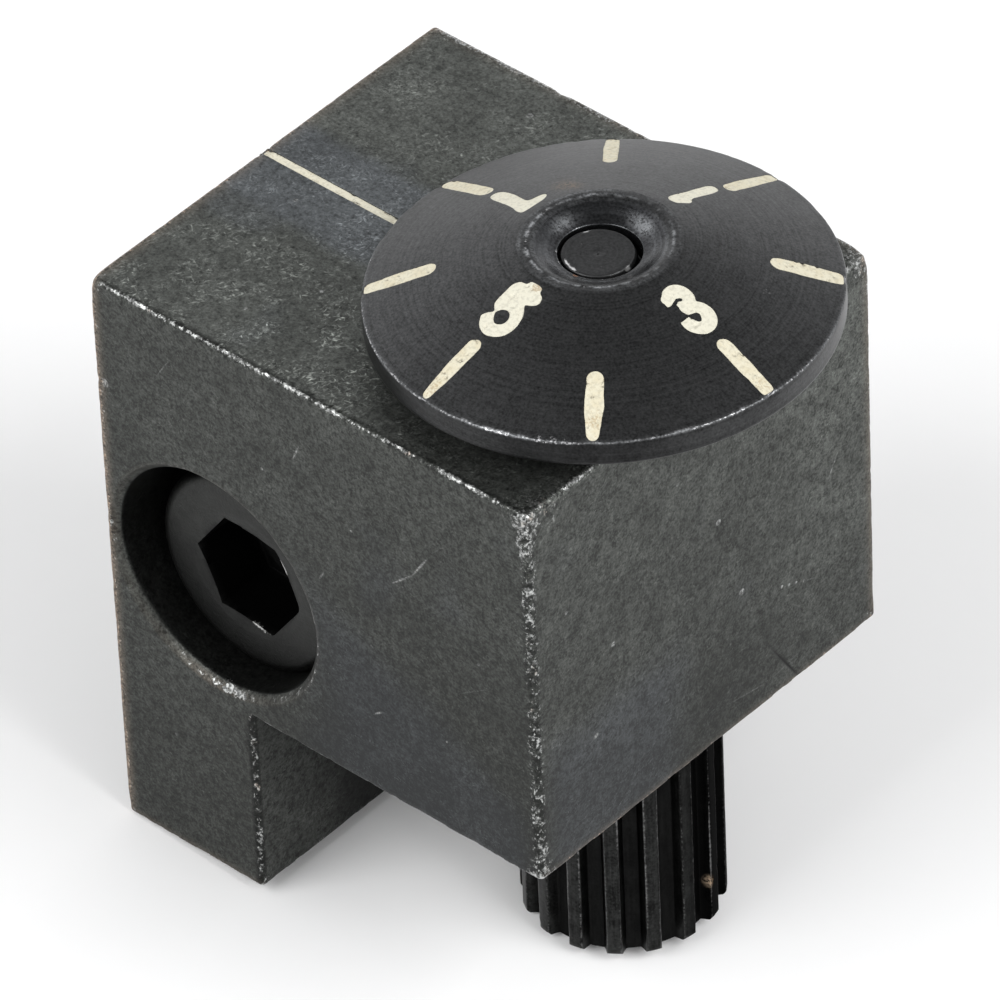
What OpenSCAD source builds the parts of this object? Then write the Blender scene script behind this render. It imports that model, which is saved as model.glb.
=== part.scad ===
// Thread dial indicator for a small bench lathe.
// Milled L-shaped block, clamped to the apron by one cap screw, with a vertical
// spindle: a pinion under the block is turned by the leadscrew and a conical
// dial on top shows its angle against a line on the block.
// Built in a block frame (front left bottom corner of the block at 0,0,0, leg and
// pinion below it) and moved so that the origin is under the middle of the part.

/* [Block] */
// Width of the block, left to right
block_w = 24; // [22.5:0.5:30]
// Depth of the block, front to the face that sits on the apron
block_d = 21.5; // [20:0.5:28]
// Height of the block without its leg
block_h = 20; // [17:0.5:26]
// Width of the leg at the left of the block
leg_w = 7.8; // [5:0.1:9]
// How far the leg hangs below the block
leg_drop = 9.85; // [4:0.05:12]
// Radius of the broken outer edges
edge_r = 0.25; // [0.1:0.05:0.6]

/* [Index line] */
// Width of the scribed line on top
index_w = 0.42; // [0.2:0.02:0.8]
// Depth of the scribed line
index_depth = 0.15; // [0.08:0.01:0.3]
// Length of the scribed line, which ends under the dial
index_len = 10.5; // [9:0.25:12]

/* [Mounting screw] */
// Screw thread size
screw_d = 6; // [5:0.5:6]
// Screw length under its head
screw_len = 20; // [16:1:25]
// Head diameter
head_d = 10; // [9:0.1:10.2]
// Head height
head_h = 6; // [5:0.1:6]
// Hex socket size across flats
socket_af = 5; // [4:0.5:5]
// Hex socket depth
socket_depth = 3; // [2:0.1:3.5]
// Turn of the hex socket
socket_turn = 5.4; // [0:0.1:60]
// Counterbore diameter
cbore_d = 11; // [10.9:0.1:11.4]
// Counterbore depth
cbore_depth = 7.6; // [7:0.1:9]
// Clearance hole diameter
hole_d = 7; // [6.9:0.1:7.6]
// Hole centre from the left face
hole_x = 6.05; // [6:0.05:8]
// Hole centre above the underside of the block
hole_z = 6.45; // [6.4:0.05:9]
// How far the loose screw lies to the right of the hole centre
screw_off_x = 0.34; // [-0.35:0.01:0.35]
// How far the loose screw lies below the hole centre
screw_off_z = -0.28; // [-0.3:0.01:0.3]

/* [Spindle and pinion] */
// Spindle axis from the left face
axis_x = 18.84; // [17.5:0.02:20]
// Journal diameter
journal_d = 6; // [5:0.1:6.6]
// Radial clearance of the journal in its bore
bore_gap = 0.04; // [0.02:0.01:0.09]
// Number of pinion teeth
teeth = 16; // [12:1:20]
// Diameter over the tooth tips
tip_d = 8.84; // [8.2:0.02:9.4]
// Radial depth of the tooth gaps
tooth_h = 0.48; // [0.3:0.02:0.8]
// Length of the pinion below the block
pinion_len = 10.65; // [7:0.1:14]
// End float between pinion and block
end_float = 0.15; // [0.05:0.01:0.3]
// Direction of one tooth at rest
tooth_phase = -54.1; // [-67:0.1:-44]
// Diameter of the spindle end that carries the dial
tenon_d = 3.4; // [3:0.1:3.6]

/* [Dial] */
// Dial diameter
dial_d = 19.84; // [17:0.1:21]
// Height of the rim
rim_h = 1.17; // [0.8:0.01:1.6]
// Gap under the rim, above the block
rim_gap = 1.21; // [1.2:0.01:1.6]
// Steepness of the cone at the rim
cone_slope = 0.46; // [0.36:0.01:0.5]
// How much the cone flattens towards the hub
cone_crown = 0.0115; // [0:0.0005:0.015]
// Outer radius of the hub land
land_r = 3.3; // [3:0.05:3.6]
// Inner radius of the hub land, where the dish starts
dish_r = 2.6; // [2.3:0.02:2.8]
// Depth of the dish
dish_h = 0.56; // [0.3:0.02:0.8]
// Lean of the cone against its bore, up at the right
dial_lean = 1.87; // [0:0.01:2.2]
// How far the cone is out of centre with its bore
dial_off = 0.08; // [0:0.01:0.12]
// Turn of the dial at rest: direction of the mark at the front
dial_turn = -51.3; // [-180:0.1:180]
// Width of the eight marks
mark_w = 0.68; // [0.4:0.02:0.8]
// Inner end of the marks
mark_r = 6.86; // [6.6:0.02:8]
// Depth of the engraving
engrave = 0.14; // [0.08:0.01:0.25]

/* [Washer] */
// Thickness of the thrust washer under the dial
washer_t = 1; // [0.8:0.05:1]
// Outer diameter of the washer
washer_d = 9.5; // [9:0.1:10]

/* [Hidden] */
$fn = 96;
axis_y = block_d / 2 - 0.07;
bore_r = journal_d / 2 + bore_gap;
tenon_r = tenon_d / 2;
lip_r = tenon_r + 0.05;                   // hole in the dish, a little larger
cone_h = cone(land_r);
function cone(r) = let (d = dial_d / 2 - r) cone_slope * d - cone_crown * d * d;
seat_z = block_h + 1.05;                  // underside of the dial's boss
rim_z = block_h + rim_gap + rim_h;        // upper edge of the rim
screw_out = cbore_depth + screw_len - block_d;
shank_end = head_h + block_d - cbore_depth; // where the thread starts, at the back face
relief_w = 0.7;
relief_r = screw_d / 2 - 0.5;
thread_r = screw_d / 2 - 0.02;
low_z = -end_float - pinion_len;
root_r = tip_d / 2 - tooth_h;
pitch = 360 / teeth;
over_x = axis_x + dial_off + dial_d / 2 * cos(dial_lean) + (rim_h - 0.15) * sin(dial_lean);
origin = [over_x / 2, (block_d + screw_out) / 2, min(low_z, -leg_drop)];

module place() { translate(-origin) children(); }

// ---------- block ----------

// Rectangle with rounded corners made of exact arcs
module round_rect(w, h, r) {
    translate([r, 0]) square([w - 2 * r, h]);
    translate([0, r]) square([w, h - 2 * r]);
    for (x = [r, w - r], y = [r, h - r])
        translate([x, y]) circle(r = r, $fn = 32);
}

// Box with all twelve edges rounded
module soft_box(w, d, h, r) {
    intersection() {
        linear_extrude(h) round_rect(w, d, r);
        translate([0, d, 0]) rotate([90, 0, 0]) linear_extrude(d) round_rect(w, h, r);
        rotate([90, 0, 90]) linear_extrude(w) round_rect(d, h, r);
    }
}

// Stepped hole for the cap screw, running back from the front face
module screw_hole() {
    translate([hole_x, 0, hole_z]) rotate([-90, 0, 0]) {
        translate([0, 0, -1]) cylinder(r = hole_d / 2, h = block_d + 2);
        translate([0, 0, -1]) cylinder(r = cbore_d / 2, h = cbore_depth + 1);
        translate([0, 0, -0.05])
            cylinder(r1 = cbore_d / 2 + 0.4, r2 = cbore_d / 2, h = 0.4);
        translate([0, 0, block_d - 0.3])
            cylinder(r1 = hole_d / 2, r2 = hole_d / 2 + 0.35, h = 0.35);
    }
}

// Vertical spindle bore with a small bevel at both ends
module spindle_bore() {
    translate([axis_x, axis_y, 0]) {
        translate([0, 0, -1]) cylinder(r = bore_r, h = block_h + 2);
        translate([0, 0, -0.05]) cylinder(r1 = bore_r + 0.3, r2 = bore_r, h = 0.3);
        translate([0, 0, block_h - 0.25]) cylinder(r1 = bore_r, r2 = bore_r + 0.3, h = 0.3);
    }
}

// Scribed line on top, running in from the left face
module index_groove(w, depth) {
    translate([-1, axis_y - w / 2, block_h - depth]) cube([index_len + 1, w, depth + 1]);
}

module body() {
    color([0.25, 0.25, 0.25]) place()
    difference() {
        union() {
            soft_box(block_w, block_d, block_h, edge_r);
            translate([0, 0, -leg_drop])
                soft_box(leg_w, block_d, leg_drop + block_h / 2, edge_r);
        }
        screw_hole();
        spindle_bore();
        index_groove(index_w, index_depth);
    }
}

// Enamel in the scribed line, a little below the surface
module index_line() {
    color([0.93, 0.90, 0.80]) place()
    translate([0.12, axis_y - index_w / 2, block_h - index_depth])
        cube([index_len - 0.12, index_w, index_depth - 0.02]);
}

// ---------- mounting screw ----------

// Profile of a socket head cap screw: head top at 0, shank going up. The plain
// shank is the pivot in the block, and the thread starts past a relief groove.
module screw_profile() {
    hr = head_d / 2;
    sr = screw_d / 2;
    e = 0.55;
    polygon(concat(
        [[0, 0]],
        [for (a = [0:15:90]) [hr - e + e * sin(a), e - e * cos(a)]],
        [[hr, head_h - 0.15], [hr - 0.15, head_h], [sr + 0.05, head_h], [sr, head_h + 0.05],
         [sr, shank_end - relief_w - 0.15], [relief_r, shank_end - relief_w + 0.1],
         [relief_r, shank_end - 0.1], [thread_r - 0.1, shank_end], [thread_r, shank_end + 0.06],
         [thread_r, head_h + screw_len - 0.6], [thread_r - 0.6, head_h + screw_len],
         [0, head_h + screw_len]]));
}

module mounting_screw() {
    color([0.13, 0.13, 0.13]) place()
    translate([hole_x + screw_off_x, cbore_depth - head_h, hole_z + screw_off_z])
    rotate([-90, 0, 0])
    difference() {
        rotate_extrude() screw_profile();
        rotate([0, 0, socket_turn]) {
            translate([0, 0, -1])
                cylinder(r = socket_af / 2 / cos(30), h = socket_depth + 1, $fn = 6);
        }
        // drill point at the bottom of the socket
        translate([0, 0, socket_depth - 0.01])
            cylinder(r1 = socket_af / 2 - 0.1, r2 = 0.2, h = 0.9);
        // small lead-in at the mouth of the socket
        translate([0, 0, -0.05])
            cylinder(r1 = socket_af / 2 / cos(30) + 0.05, r2 = socket_af / 2, h = 0.4);
    }
}

// ---------- spindle with pinion ----------

// One gap between two teeth, in the plane across the spindle
module tooth_gap() {
    tr = tip_d / 2;
    half_top = pitch * 0.29;
    half_low = pitch * 0.17;
    x1 = tr + 0.3;
    k = tan(half_top) * tr;
    j = tan(half_low) * root_r;
    m = (k - j) / (tr - root_r);
    polygon([[root_r + 0.06, j + 0.02], [x1, k + m * 0.3], [x1, -k - m * 0.3],
             [root_r + 0.06, -j - 0.02], [root_r, -j * 0.7], [root_r, j * 0.7]]);
}

module pinion_spindle() {
    tr = tip_d / 2;
    jr = journal_d / 2;
    nr = tenon_d / 2;
    end_z = rim_z + cone_h - dish_h - 0.06;
    color([0.12, 0.12, 0.12]) place()
    translate([axis_x, axis_y, 0])
    difference() {
        rotate_extrude() polygon([
            [0, low_z], [tr - 0.12, low_z], [tr, low_z + 0.12],
            [tr, -end_float - 0.12], [tr - 0.12, -end_float],
            [jr, -end_float],
            [jr, seat_z], [nr, seat_z], [nr, end_z - 0.3], [nr - 0.16, end_z],
            [0, end_z]]);
        for (i = [0:teeth - 1])
            rotate([0, 0, tooth_phase + (i + 0.5) * pitch])
                translate([0, 0, low_z - 1]) linear_extrude(pinion_len + 1.001) tooth_gap();
        // centre marks left by turning
        translate([0, 0, end_z - 0.12]) cylinder(r1 = 0.03, r2 = 0.16, h = 0.13, $fn = 24);
        translate([0, 0, low_z - 0.01]) cylinder(r1 = 0.9, r2 = 0.05, h = 1.2, $fn = 32);
    }
}

module thrust_washer() {
    color([0.35, 0.35, 0.35]) place()
    translate([axis_x, axis_y, block_h])
    difference() {
        rotate_extrude() translate([journal_d / 2 + 0.12, 0])
            polygon([[0, 0], [washer_d / 2 - journal_d / 2 - 0.12 - 0.08, 0],
                     [washer_d / 2 - journal_d / 2 - 0.12, 0.08],
                     [washer_d / 2 - journal_d / 2 - 0.12, washer_t - 0.08],
                     [washer_d / 2 - journal_d / 2 - 0.12 - 0.08, washer_t],
                     [0, washer_t]]);
        translate([0, 0, -0.02]) cylinder(r1 = journal_d / 2 + 0.2, r2 = journal_d / 2 + 0.1, h = 0.1);
    }
}

// ---------- dial ----------

// Turned outline of the dial, z measured from the rim's upper edge
module dial_profile() {
    r = dial_d / 2;
    b = dish_r - lip_r - 0.15;             // leaves a narrow flat round the hole
    polygon(concat(
        [[0, -rim_h], [r - 0.15, -rim_h], [r, -rim_h + 0.15], [r, -0.07], [r - 0.05, -0.01]],
        [for (i = [1:5]) let (q = r - i * (r - land_r) / 6) [q, cone(q)]],
        [[land_r, cone_h - 0.07], [land_r - 0.2, cone_h - 0.01], [land_r - 0.3, cone_h],
         [dish_r + 0.06, cone_h]],
        [for (a = [15:15:90]) [dish_r - b * (1 - cos(a)) * 0.6 - b * sin(a) * 0.4,
                              cone_h - dish_h * (1 - cos(a)) * 0.55 - dish_h * sin(a) * 0.45]],
        [[0, cone_h - dish_h]]));
}

module lean() {
    translate([axis_x + dial_off, axis_y + dial_off / 3, rim_z]) rotate([0, -dial_lean, 0])
        rotate([0, 0, dial_turn]) children();
}

module dial_blank() { rotate_extrude($fn = 180) dial_profile(); }

// Thin top layer of the dial that the engraving is cut from
module dial_skin(depth) {
    difference() {
        dial_blank();
        translate([0, 0, -depth]) dial_blank();
    }
}

// One mark, a slot with a round inner end that runs out over the rim
module mark_plan() {
    translate([mark_r + mark_w / 2, 0]) circle(d = mark_w, $fn = 32);
    translate([mark_r + mark_w / 2, -mark_w / 2]) square([dial_d / 2 - mark_r, mark_w]);
}

module marks_plan() {
    for (i = [0:7]) rotate([0, 0, 45 * i]) mark_plan();
}

// A straight stroke with round ends
module stroke(a, b, w) {
    d = b - a;
    translate(a) circle(d = w, $fn = 24);
    translate(b) circle(d = w, $fn = 24);
    translate(a) rotate([0, 0, atan2(d[1], d[0])]) translate([0, -w / 2]) square([norm(d), w]);
}

// Points along an arc
function arc(c, r, a0, a1, n) =
    [for (i = [0:n]) let (a = a0 + (a1 - a0) * i / n) c + r * [cos(a), sin(a)]];

// Numerals, drawn upright with the foot at v = 0
module numeral_one() {
    polygon(concat(
        arc([0.1, 0.29], 0.29, 180, 357, 14), [[0.33, 2.22]],
        arc([0.05, 2.26], 0.27, 12, 84, 5),
        [[-0.12, 2.5], [-0.44, 2.12], [-0.5, 1.94], [-0.42, 1.78], [-0.24, 1.68]]));
}

module numeral_three() {
    difference() {
        union() {
            translate([0.03, 0.85]) circle(r = 0.84, $fn = 40);
            translate([0.10, 1.99]) circle(r = 0.70, $fn = 40);
            translate([-0.39, 2.2]) circle(r = 0.29, $fn = 24);
        }
        stroke([0.06, 1.92], [-1.0, 1.88], 0.2);
        stroke([0.02, 0.76], [-0.34, 0.98], 0.3);
        stroke([-0.34, 0.98], [-1.0, 1.32], 0.22);
        polygon([[-0.4, 1.1], [-0.4, 1.86], [-1.2, 1.86], [-1.2, 1.32]]);
    }
}

module numeral_five() {
    difference() {
        polygon(concat(
            arc([0.02, 0.92], 0.91, 150, 163, 2), [[-0.64, 1.12], [-0.62, 1.02]],
            arc([0.02, 0.92], 0.91, 176, 418, 26),
            [[0.42, 1.87], [0.85, 2.07], [0.87, 2.37], [0.59, 2.58], [0.42, 2.92],
             [-0.11, 2.98], [-0.26, 2.78], [-0.86, 2.58]]));
        translate([0.04, 0.97]) circle(r = 0.33, $fn = 24);
    }
}

module numeral_seven() {
    polygon([[-0.92, 2.38], [-0.74, 2.08], [-0.17, 1.92], [-0.23, 0.92], [-0.29, 0.28],
             [-0.2, 0.06], [0.0, 0.0], [0.24, 0.06], [0.38, 0.28], [0.52, 1.42], [0.76, 2.16],
             [0.72, 2.42], [0.5, 2.54], [-0.05, 2.58], [-0.65, 2.56], [-0.86, 2.5]]);
}

// Numerals stand with their tops towards the hub, beside every second mark
module set_numeral(dir, foot_r) {
    rotate([0, 0, dir]) translate([foot_r, 0]) rotate([0, 0, 90]) children();
}

module numerals_plan() {
    set_numeral(45, 6.55) numeral_three();
    set_numeral(-45, 6.47) numeral_five();
    set_numeral(-135, 6.42) numeral_seven();
    set_numeral(135, 6.52) numeral_one();
}

module engraving(depth) {
    intersection() {
        dial_skin(depth);
        translate([0, 0, -1]) linear_extrude(cone_h + 2) children();
    }
}

module dial() {
    color([0.16, 0.16, 0.17]) place()
    difference() {
        union() {
            lean() dial_blank();
            translate([axis_x, axis_y, seat_z]) cylinder(r = 4.5, h = 1);
        }
        // seat and bore are square to the spindle
        translate([axis_x, axis_y, seat_z - 2]) cylinder(r = 4.6, h = 2);
        translate([axis_x, axis_y, block_h]) cylinder(r = tenon_r, h = 12);
        translate([axis_x, axis_y, rim_z + cone_h - dish_h - 0.5]) cylinder(r = lip_r, h = 3);
        lean() engraving(engrave) marks_plan();
        lean() engraving(engrave) numerals_plan();
    }
}

module dial_marks() {
    color([0.93, 0.90, 0.80]) place() lean() engraving(engrave) marks_plan();
}

module dial_numerals() {
    color([0.93, 0.90, 0.80]) place() lean() engraving(engrave) numerals_plan();
}

body();
mounting_screw();
pinion_spindle();
thrust_washer();
dial();
dial_marks();
dial_numerals();
index_line();
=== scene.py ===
"""Thread dial indicator: the looks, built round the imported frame."""
import math
import bpy
import numpy as np
from mathutils import Matrix, Vector
from mathutils.geometry import delaunay_2d_cdt
from mathutils.kdtree import KDTree


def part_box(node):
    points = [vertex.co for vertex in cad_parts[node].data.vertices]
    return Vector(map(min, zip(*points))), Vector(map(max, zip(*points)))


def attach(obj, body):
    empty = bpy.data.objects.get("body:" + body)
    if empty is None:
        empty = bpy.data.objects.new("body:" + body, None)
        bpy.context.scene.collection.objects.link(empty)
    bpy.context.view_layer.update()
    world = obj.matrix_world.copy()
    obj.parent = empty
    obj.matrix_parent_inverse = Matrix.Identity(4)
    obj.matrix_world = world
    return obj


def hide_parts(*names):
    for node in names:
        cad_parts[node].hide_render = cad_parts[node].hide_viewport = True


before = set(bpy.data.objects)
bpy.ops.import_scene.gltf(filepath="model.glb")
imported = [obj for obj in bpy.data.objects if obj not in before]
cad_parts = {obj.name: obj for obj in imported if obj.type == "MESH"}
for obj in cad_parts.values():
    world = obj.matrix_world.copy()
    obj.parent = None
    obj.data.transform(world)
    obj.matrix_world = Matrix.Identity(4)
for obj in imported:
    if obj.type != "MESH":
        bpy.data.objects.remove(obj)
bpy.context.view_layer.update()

# ---------------------------------------------------------------- frame
# Shapes are written in millimetres from the front left bottom corner of the block.
W, D, H, LEG_W, LEG_D = 24.0, 21.5, 20.0, 7.8, 9.85
low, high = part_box("body")
ORIGIN = np.array([0.0, 0.0, -LEG_D]) - np.array(low) * 1000.0
AX, AY = 18.84, 10.68                     # spindle axis
RIM_Z = 22.38                             # upper edge of the dial's rim
DIAL_R = 9.92
LEAN = math.radians(1.87)
CONE_C = np.array([AX + 0.08, AY + 0.027, RIM_Z])
HOLE_X, HOLE_Z = 6.05, 6.45


# ---------------------------------------------------------------- noise
def _hash(i, seed):
    i = (i & 0xFFFFFFFF).astype(np.uint32)
    h = i[..., 0] * np.uint32(374761393) + i[..., 1] * np.uint32(668265263)
    h = h + i[..., 2] * np.uint32(2246822519) + np.uint32((seed * 3266489917) & 0xFFFFFFFF)
    h = (h ^ (h >> np.uint32(13))) * np.uint32(1274126177)
    h = h ^ (h >> np.uint32(16))
    return h.astype(np.float64) / 4294967295.0


def noise(p, size, seed=0):
    """Smooth noise from 0 to 1 with features of about size mm."""
    q = np.asarray(p, float) / size + 17.31 * (seed + 1)
    i = np.floor(q).astype(np.int64)
    f = q - i
    f = f * f * f * (f * (f * 6 - 15) + 10)
    out = 0.0
    for dx in (0, 1):
        for dy in (0, 1):
            for dz in (0, 1):
                w = (f[..., 0] if dx else 1 - f[..., 0]) * (f[..., 1] if dy else 1 - f[..., 1])
                w = w * (f[..., 2] if dz else 1 - f[..., 2])
                out = out + w * _hash(i + np.array([dx, dy, dz]), seed)
    return out


def fbm(p, size, seed=0, octaves=3):
    total, weight, out = 0.0, 1.0, 0.0
    for k in range(octaves):
        out = out + weight * noise(p, size / 2 ** k, seed + 11 * k)
        total += weight
        weight *= 0.5
    return out / total


def circle(cx, cy, r, m=360):
    a = np.arange(m) / m * 2 * math.pi
    return np.stack([cx + r * np.cos(a), cy + r * np.sin(a)], 1)


def step(a, b, x):
    t = np.clip((np.asarray(x, float) - a) / (b - a), 0, 1)
    return t * t * (3 - 2 * t)


# ---------------------------------------------------------------- meshes
class Build:
    """Collects patches and welds them into one closed mesh."""

    def __init__(self):
        self.v, self.f, self.n = [], [], 0

    def add(self, p, f, flip=False):
        p, f = np.asarray(p, float), np.asarray(f, int)
        if flip:
            f = f[:, ::-1]
        self.v.append(p)
        self.f.append(f + self.n)
        self.n += len(p)

    def grid(self, g, closed=False, flip=False):
        """g[i, j]: rows i, columns j. closed joins the last column to the first."""
        g = np.asarray(g, float)
        ni, nj = g.shape[:2]
        i, j = np.meshgrid(np.arange(ni - 1), np.arange(nj if closed else nj - 1), indexing="ij")
        a, b = i * nj + j, i * nj + (j + 1) % nj
        c, d = a + nj, b + nj
        # the shorter diagonal of each four corners
        p = g.reshape(-1, 3)
        pick = (np.linalg.norm(p[a] - p[d], axis=-1) < np.linalg.norm(p[b] - p[c], axis=-1)).ravel()
        a, b, c, d = a.ravel(), b.ravel(), c.ravel(), d.ravel()
        one = np.where(pick[:, None], np.stack([a, b, d], 1), np.stack([a, b, c], 1))
        two = np.where(pick[:, None], np.stack([a, d, c], 1), np.stack([b, d, c], 1))
        self.add(p, np.vstack([one, two]), flip)

    def fan(self, ring, centre, flip=False):
        n = len(ring)
        k = np.arange(n)
        self.add(np.vstack([ring, [centre]]), np.stack([k, (k + 1) % n, np.full(n, n)], 1), flip)

    def weld(self, tol=1.37e-4):
        p, f = np.vstack(self.v), np.vstack(self.f)
        key = np.round(p / tol + 0.137).astype(np.int64)
        _, first, back = np.unique(key, axis=0, return_index=True, return_inverse=True)
        f = back.reshape(-1)[f]
        keep = (f[:, 0] != f[:, 1]) & (f[:, 1] != f[:, 2]) & (f[:, 0] != f[:, 2])
        self.p, self.t = p[first], f[keep]
        return self

    def normals(self):
        a, b, c = (self.p[self.t[:, k]] for k in range(3))
        fn = np.cross(b - a, c - a)
        n = np.zeros_like(self.p)
        for k in range(3):
            for x in range(3):
                n[:, x] += np.bincount(self.t[:, k], fn[:, x], len(self.p))
        return n / np.maximum(np.linalg.norm(n, axis=1, keepdims=True), 1e-12)

    def report(self, name):
        t = self.t
        e = np.vstack([t[:, [0, 1]], t[:, [1, 2]], t[:, [2, 0]]])
        code = e[:, 0].astype(np.int64) * len(self.p) + e[:, 1]
        back = e[:, 1].astype(np.int64) * len(self.p) + e[:, 0]
        _, n = np.unique(code, return_counts=True)
        open_edges = len(code) - np.isin(code, back).sum()
        a, b, c = (self.p[t[:, k]] for k in range(3))
        vol = np.einsum("ij,ij->i", a, np.cross(b, c)).sum() / 6
        print(f"MESH {name}: {len(self.p)} points, {len(t)} triangles, open {open_edges}, doubled {(n > 1).sum()}, volume {vol:.1f} mm3")


def inside(poly, q):
    """Even-odd test of points q against closed polygons."""
    hit = np.zeros(len(q), bool)
    for ring in poly:
        a, b = ring, np.roll(ring, -1, axis=0)
        for k in range(0, len(a), 400):
            x0, y0, x1, y1 = a[k:k + 400, 0], a[k:k + 400, 1], b[k:k + 400, 0], b[k:k + 400, 1]
            cross = (y0[None] > q[:, 1:2]) != (y1[None] > q[:, 1:2])
            with np.errstate(divide="ignore", invalid="ignore"):
                x = x0[None] + (q[:, 1:2] - y0[None]) / (y1 - y0)[None] * (x1 - x0)[None]
            hit ^= ((cross & (x > q[:, 0:1])).sum(1) % 2).astype(bool)
    return hit


def dedupe(ring, tol=1e-5):
    keep = np.linalg.norm(ring - np.roll(ring, 1, axis=0), axis=1) > tol
    return ring[keep]


BANDS = ((0.0, 0.35, 0.12), (0.35, 0.9, 0.2), (0.9, 2.0, 0.32), (2.0, 99.0, 0.45))


def fill(rings, bands=BANDS, extra=None, lines=(), seed=1, roomy=0.62):
    """Triangles of the area between rings (an outline and its holes), finer near the rings. extra: more points, and lines: polylines to keep as edges."""
    rings = [dedupe(np.asarray(r, float)) for r in rings]
    allpts = np.vstack(rings + [np.asarray(x, float) for x in lines])
    tree = KDTree(len(allpts))
    for k, p in enumerate(allpts):
        tree.insert((p[0], p[1], 0), k)
    tree.balance()
    (x0, y0), (x1, y1) = rings[0].min(0), rings[0].max(0)
    rng = np.random.default_rng(seed)
    inner = []
    coarse = bands[-1][2]
    for near, far, h in bands:
        nx, ny = int((x1 - x0) / h) + 2, int((y1 - y0) / (h * 0.866)) + 2
        gx, gy = np.meshgrid(np.arange(nx), np.arange(ny))
        q = np.stack([x0 + (gx + 0.5 * (gy % 2)) * h, y0 + gy * h * 0.866], -1).reshape(-1, 2)
        q = q + (rng.random(q.shape) - 0.5) * h * 0.3
        q = q[inside(rings, q)]
        if near > 0 or far < 50:
            d = np.array([tree.find((p[0], p[1], 0))[2] for p in q])
            q = q[(d >= max(near, h * roomy)) & (d < far)]
        else:
            d = np.array([tree.find((p[0], p[1], 0))[2] for p in q])
            q = q[d > h * roomy]
        inner.append(q)
    inner = np.vstack(inner)
    if extra is not None and len(extra):
        extra = np.asarray(extra, float)
        extra = extra[inside(rings, extra)]
        t2 = KDTree(len(extra))
        for k, p in enumerate(extra):
            t2.insert((p[0], p[1], 0), k)
        t2.balance()
        d = np.array([t2.find((p[0], p[1], 0))[2] for p in inner])
        inner = inner[d > 0.07]
        d = np.array([tree.find((p[0], p[1], 0))[2] for p in extra])
        inner = np.vstack([inner, extra[d > 0.03]])
    pts, edges = [], []
    for r in rings:
        k = np.arange(len(r)) + len(pts)
        edges += list(zip(k.tolist(), np.roll(k, -1).tolist()))
        pts += r.tolist()
    for line in lines:
        k = np.arange(len(line)) + len(pts)
        edges += list(zip(k[:-1].tolist(), k[1:].tolist()))
        pts += np.asarray(line).tolist()
    pts += inner.tolist()
    out = delaunay_2d_cdt([Vector(p) for p in pts], edges, [], 0, 1e-6)
    p = np.array([tuple(v) for v in out[0]], float)
    # the solver works in single precision, so each point goes back to where it was
    src = np.array(pts)
    for k, ids in enumerate(out[3]):
        if len(ids):
            p[k] = src[ids[0]]
    t = np.array([tuple(f) for f in out[2]], int)
    mid = p[t].mean(1)
    t = t[inside(rings, mid)]
    a, b, c = p[t[:, 0]], p[t[:, 1]], p[t[:, 2]]
    area = (b[:, 0] - a[:, 0]) * (c[:, 1] - a[:, 1]) - (b[:, 1] - a[:, 1]) * (c[:, 0] - a[:, 0])
    t[area < 0] = t[area < 0][:, ::-1]
    return p, t[np.abs(area) > 1e-10]


def piece(name, b, body, replaced, mats, attrs=None, sharp=40, material_index=None):
    me = bpy.data.meshes.new(name)
    p = (b.p - ORIGIN) * 0.001
    me.vertices.add(len(p))
    me.vertices.foreach_set("co", p.astype(np.float32).ravel())
    me.loops.add(len(b.t) * 3)
    me.loops.foreach_set("vertex_index", b.t.astype(np.int32).ravel())
    me.polygons.add(len(b.t))
    me.polygons.foreach_set("loop_start", (np.arange(len(b.t)) * 3).astype(np.int32))
    me.polygons.foreach_set("use_smooth", np.ones(len(b.t), bool))
    for m in mats:
        me.materials.append(m)
    if material_index is not None:
        me.polygons.foreach_set("material_index", material_index.astype(np.int32))
    me.update(calc_edges=True)
    me.validate()
    me.set_sharp_from_angle(angle=math.radians(sharp))
    for key, value in (attrs or {}).items():
        value = np.asarray(value, np.float32)
        if value.ndim == 2:
            me.attributes.new(key, "FLOAT_VECTOR", "POINT").data.foreach_set("vector", value.ravel())
        else:
            me.attributes.new(key, "FLOAT", "POINT").data.foreach_set("value", value)
    o = bpy.data.objects.new(name, me)
    bpy.context.scene.collection.objects.link(o)
    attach(o, body)
    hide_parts(*replaced)
    return o


# ---------------------------------------------------------------- wear on the block
# Convex edges of the block: ends, half-width of the worn band in mm, strength.
EDGES = [
    ((0, 0, 20), (24, 0, 20), 0.15, 0.92),          # top front
    ((24, 0, 20), (24, 0, 0), 0.62, 0.58),          # front right upright
    ((24, 0, 20), (24, 21.5, 20), 0.26, 0.60),      # top right
    ((0, 21.5, 20), (24, 21.5, 20), 0.36, 0.82),    # top back
    ((0, 0, 20), (0, 21.5, 20), 0.24, 0.80),        # top left
    ((0, 0, 20), (0, 0, -9.85), 0.28, 0.86),        # front left upright
    ((0, 21.5, 20), (0, 21.5, -9.85), 0.26, 0.55),
    ((24, 21.5, 20), (24, 21.5, 0), 0.24, 0.55),
    ((7.8, 0, 0), (24, 0, 0), 0.16, 0.55),          # underside, front
    ((24, 0, 0), (24, 21.5, 0), 0.20, 0.80),        # underside, right
    ((7.8, 21.5, 0), (24, 21.5, 0), 0.22, 0.5),
    ((7.8, 0, 0), (7.8, 0, -9.85), 0.24, 0.52),     # leg, front right upright
    ((7.8, 21.5, 0), (7.8, 21.5, -9.85), 0.24, 0.5),
    ((0, 0, -9.85), (7.8, 0, -9.85), 0.20, 0.55),
    ((7.8, 0, -9.85), (7.8, 21.5, -9.85), 0.20, 0.55),
    ((0, 0, -9.85), (0, 21.5, -9.85), 0.22, 0.55),
    ((0, 21.5, -9.85), (7.8, 21.5, -9.85), 0.22, 0.5),
]


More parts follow.
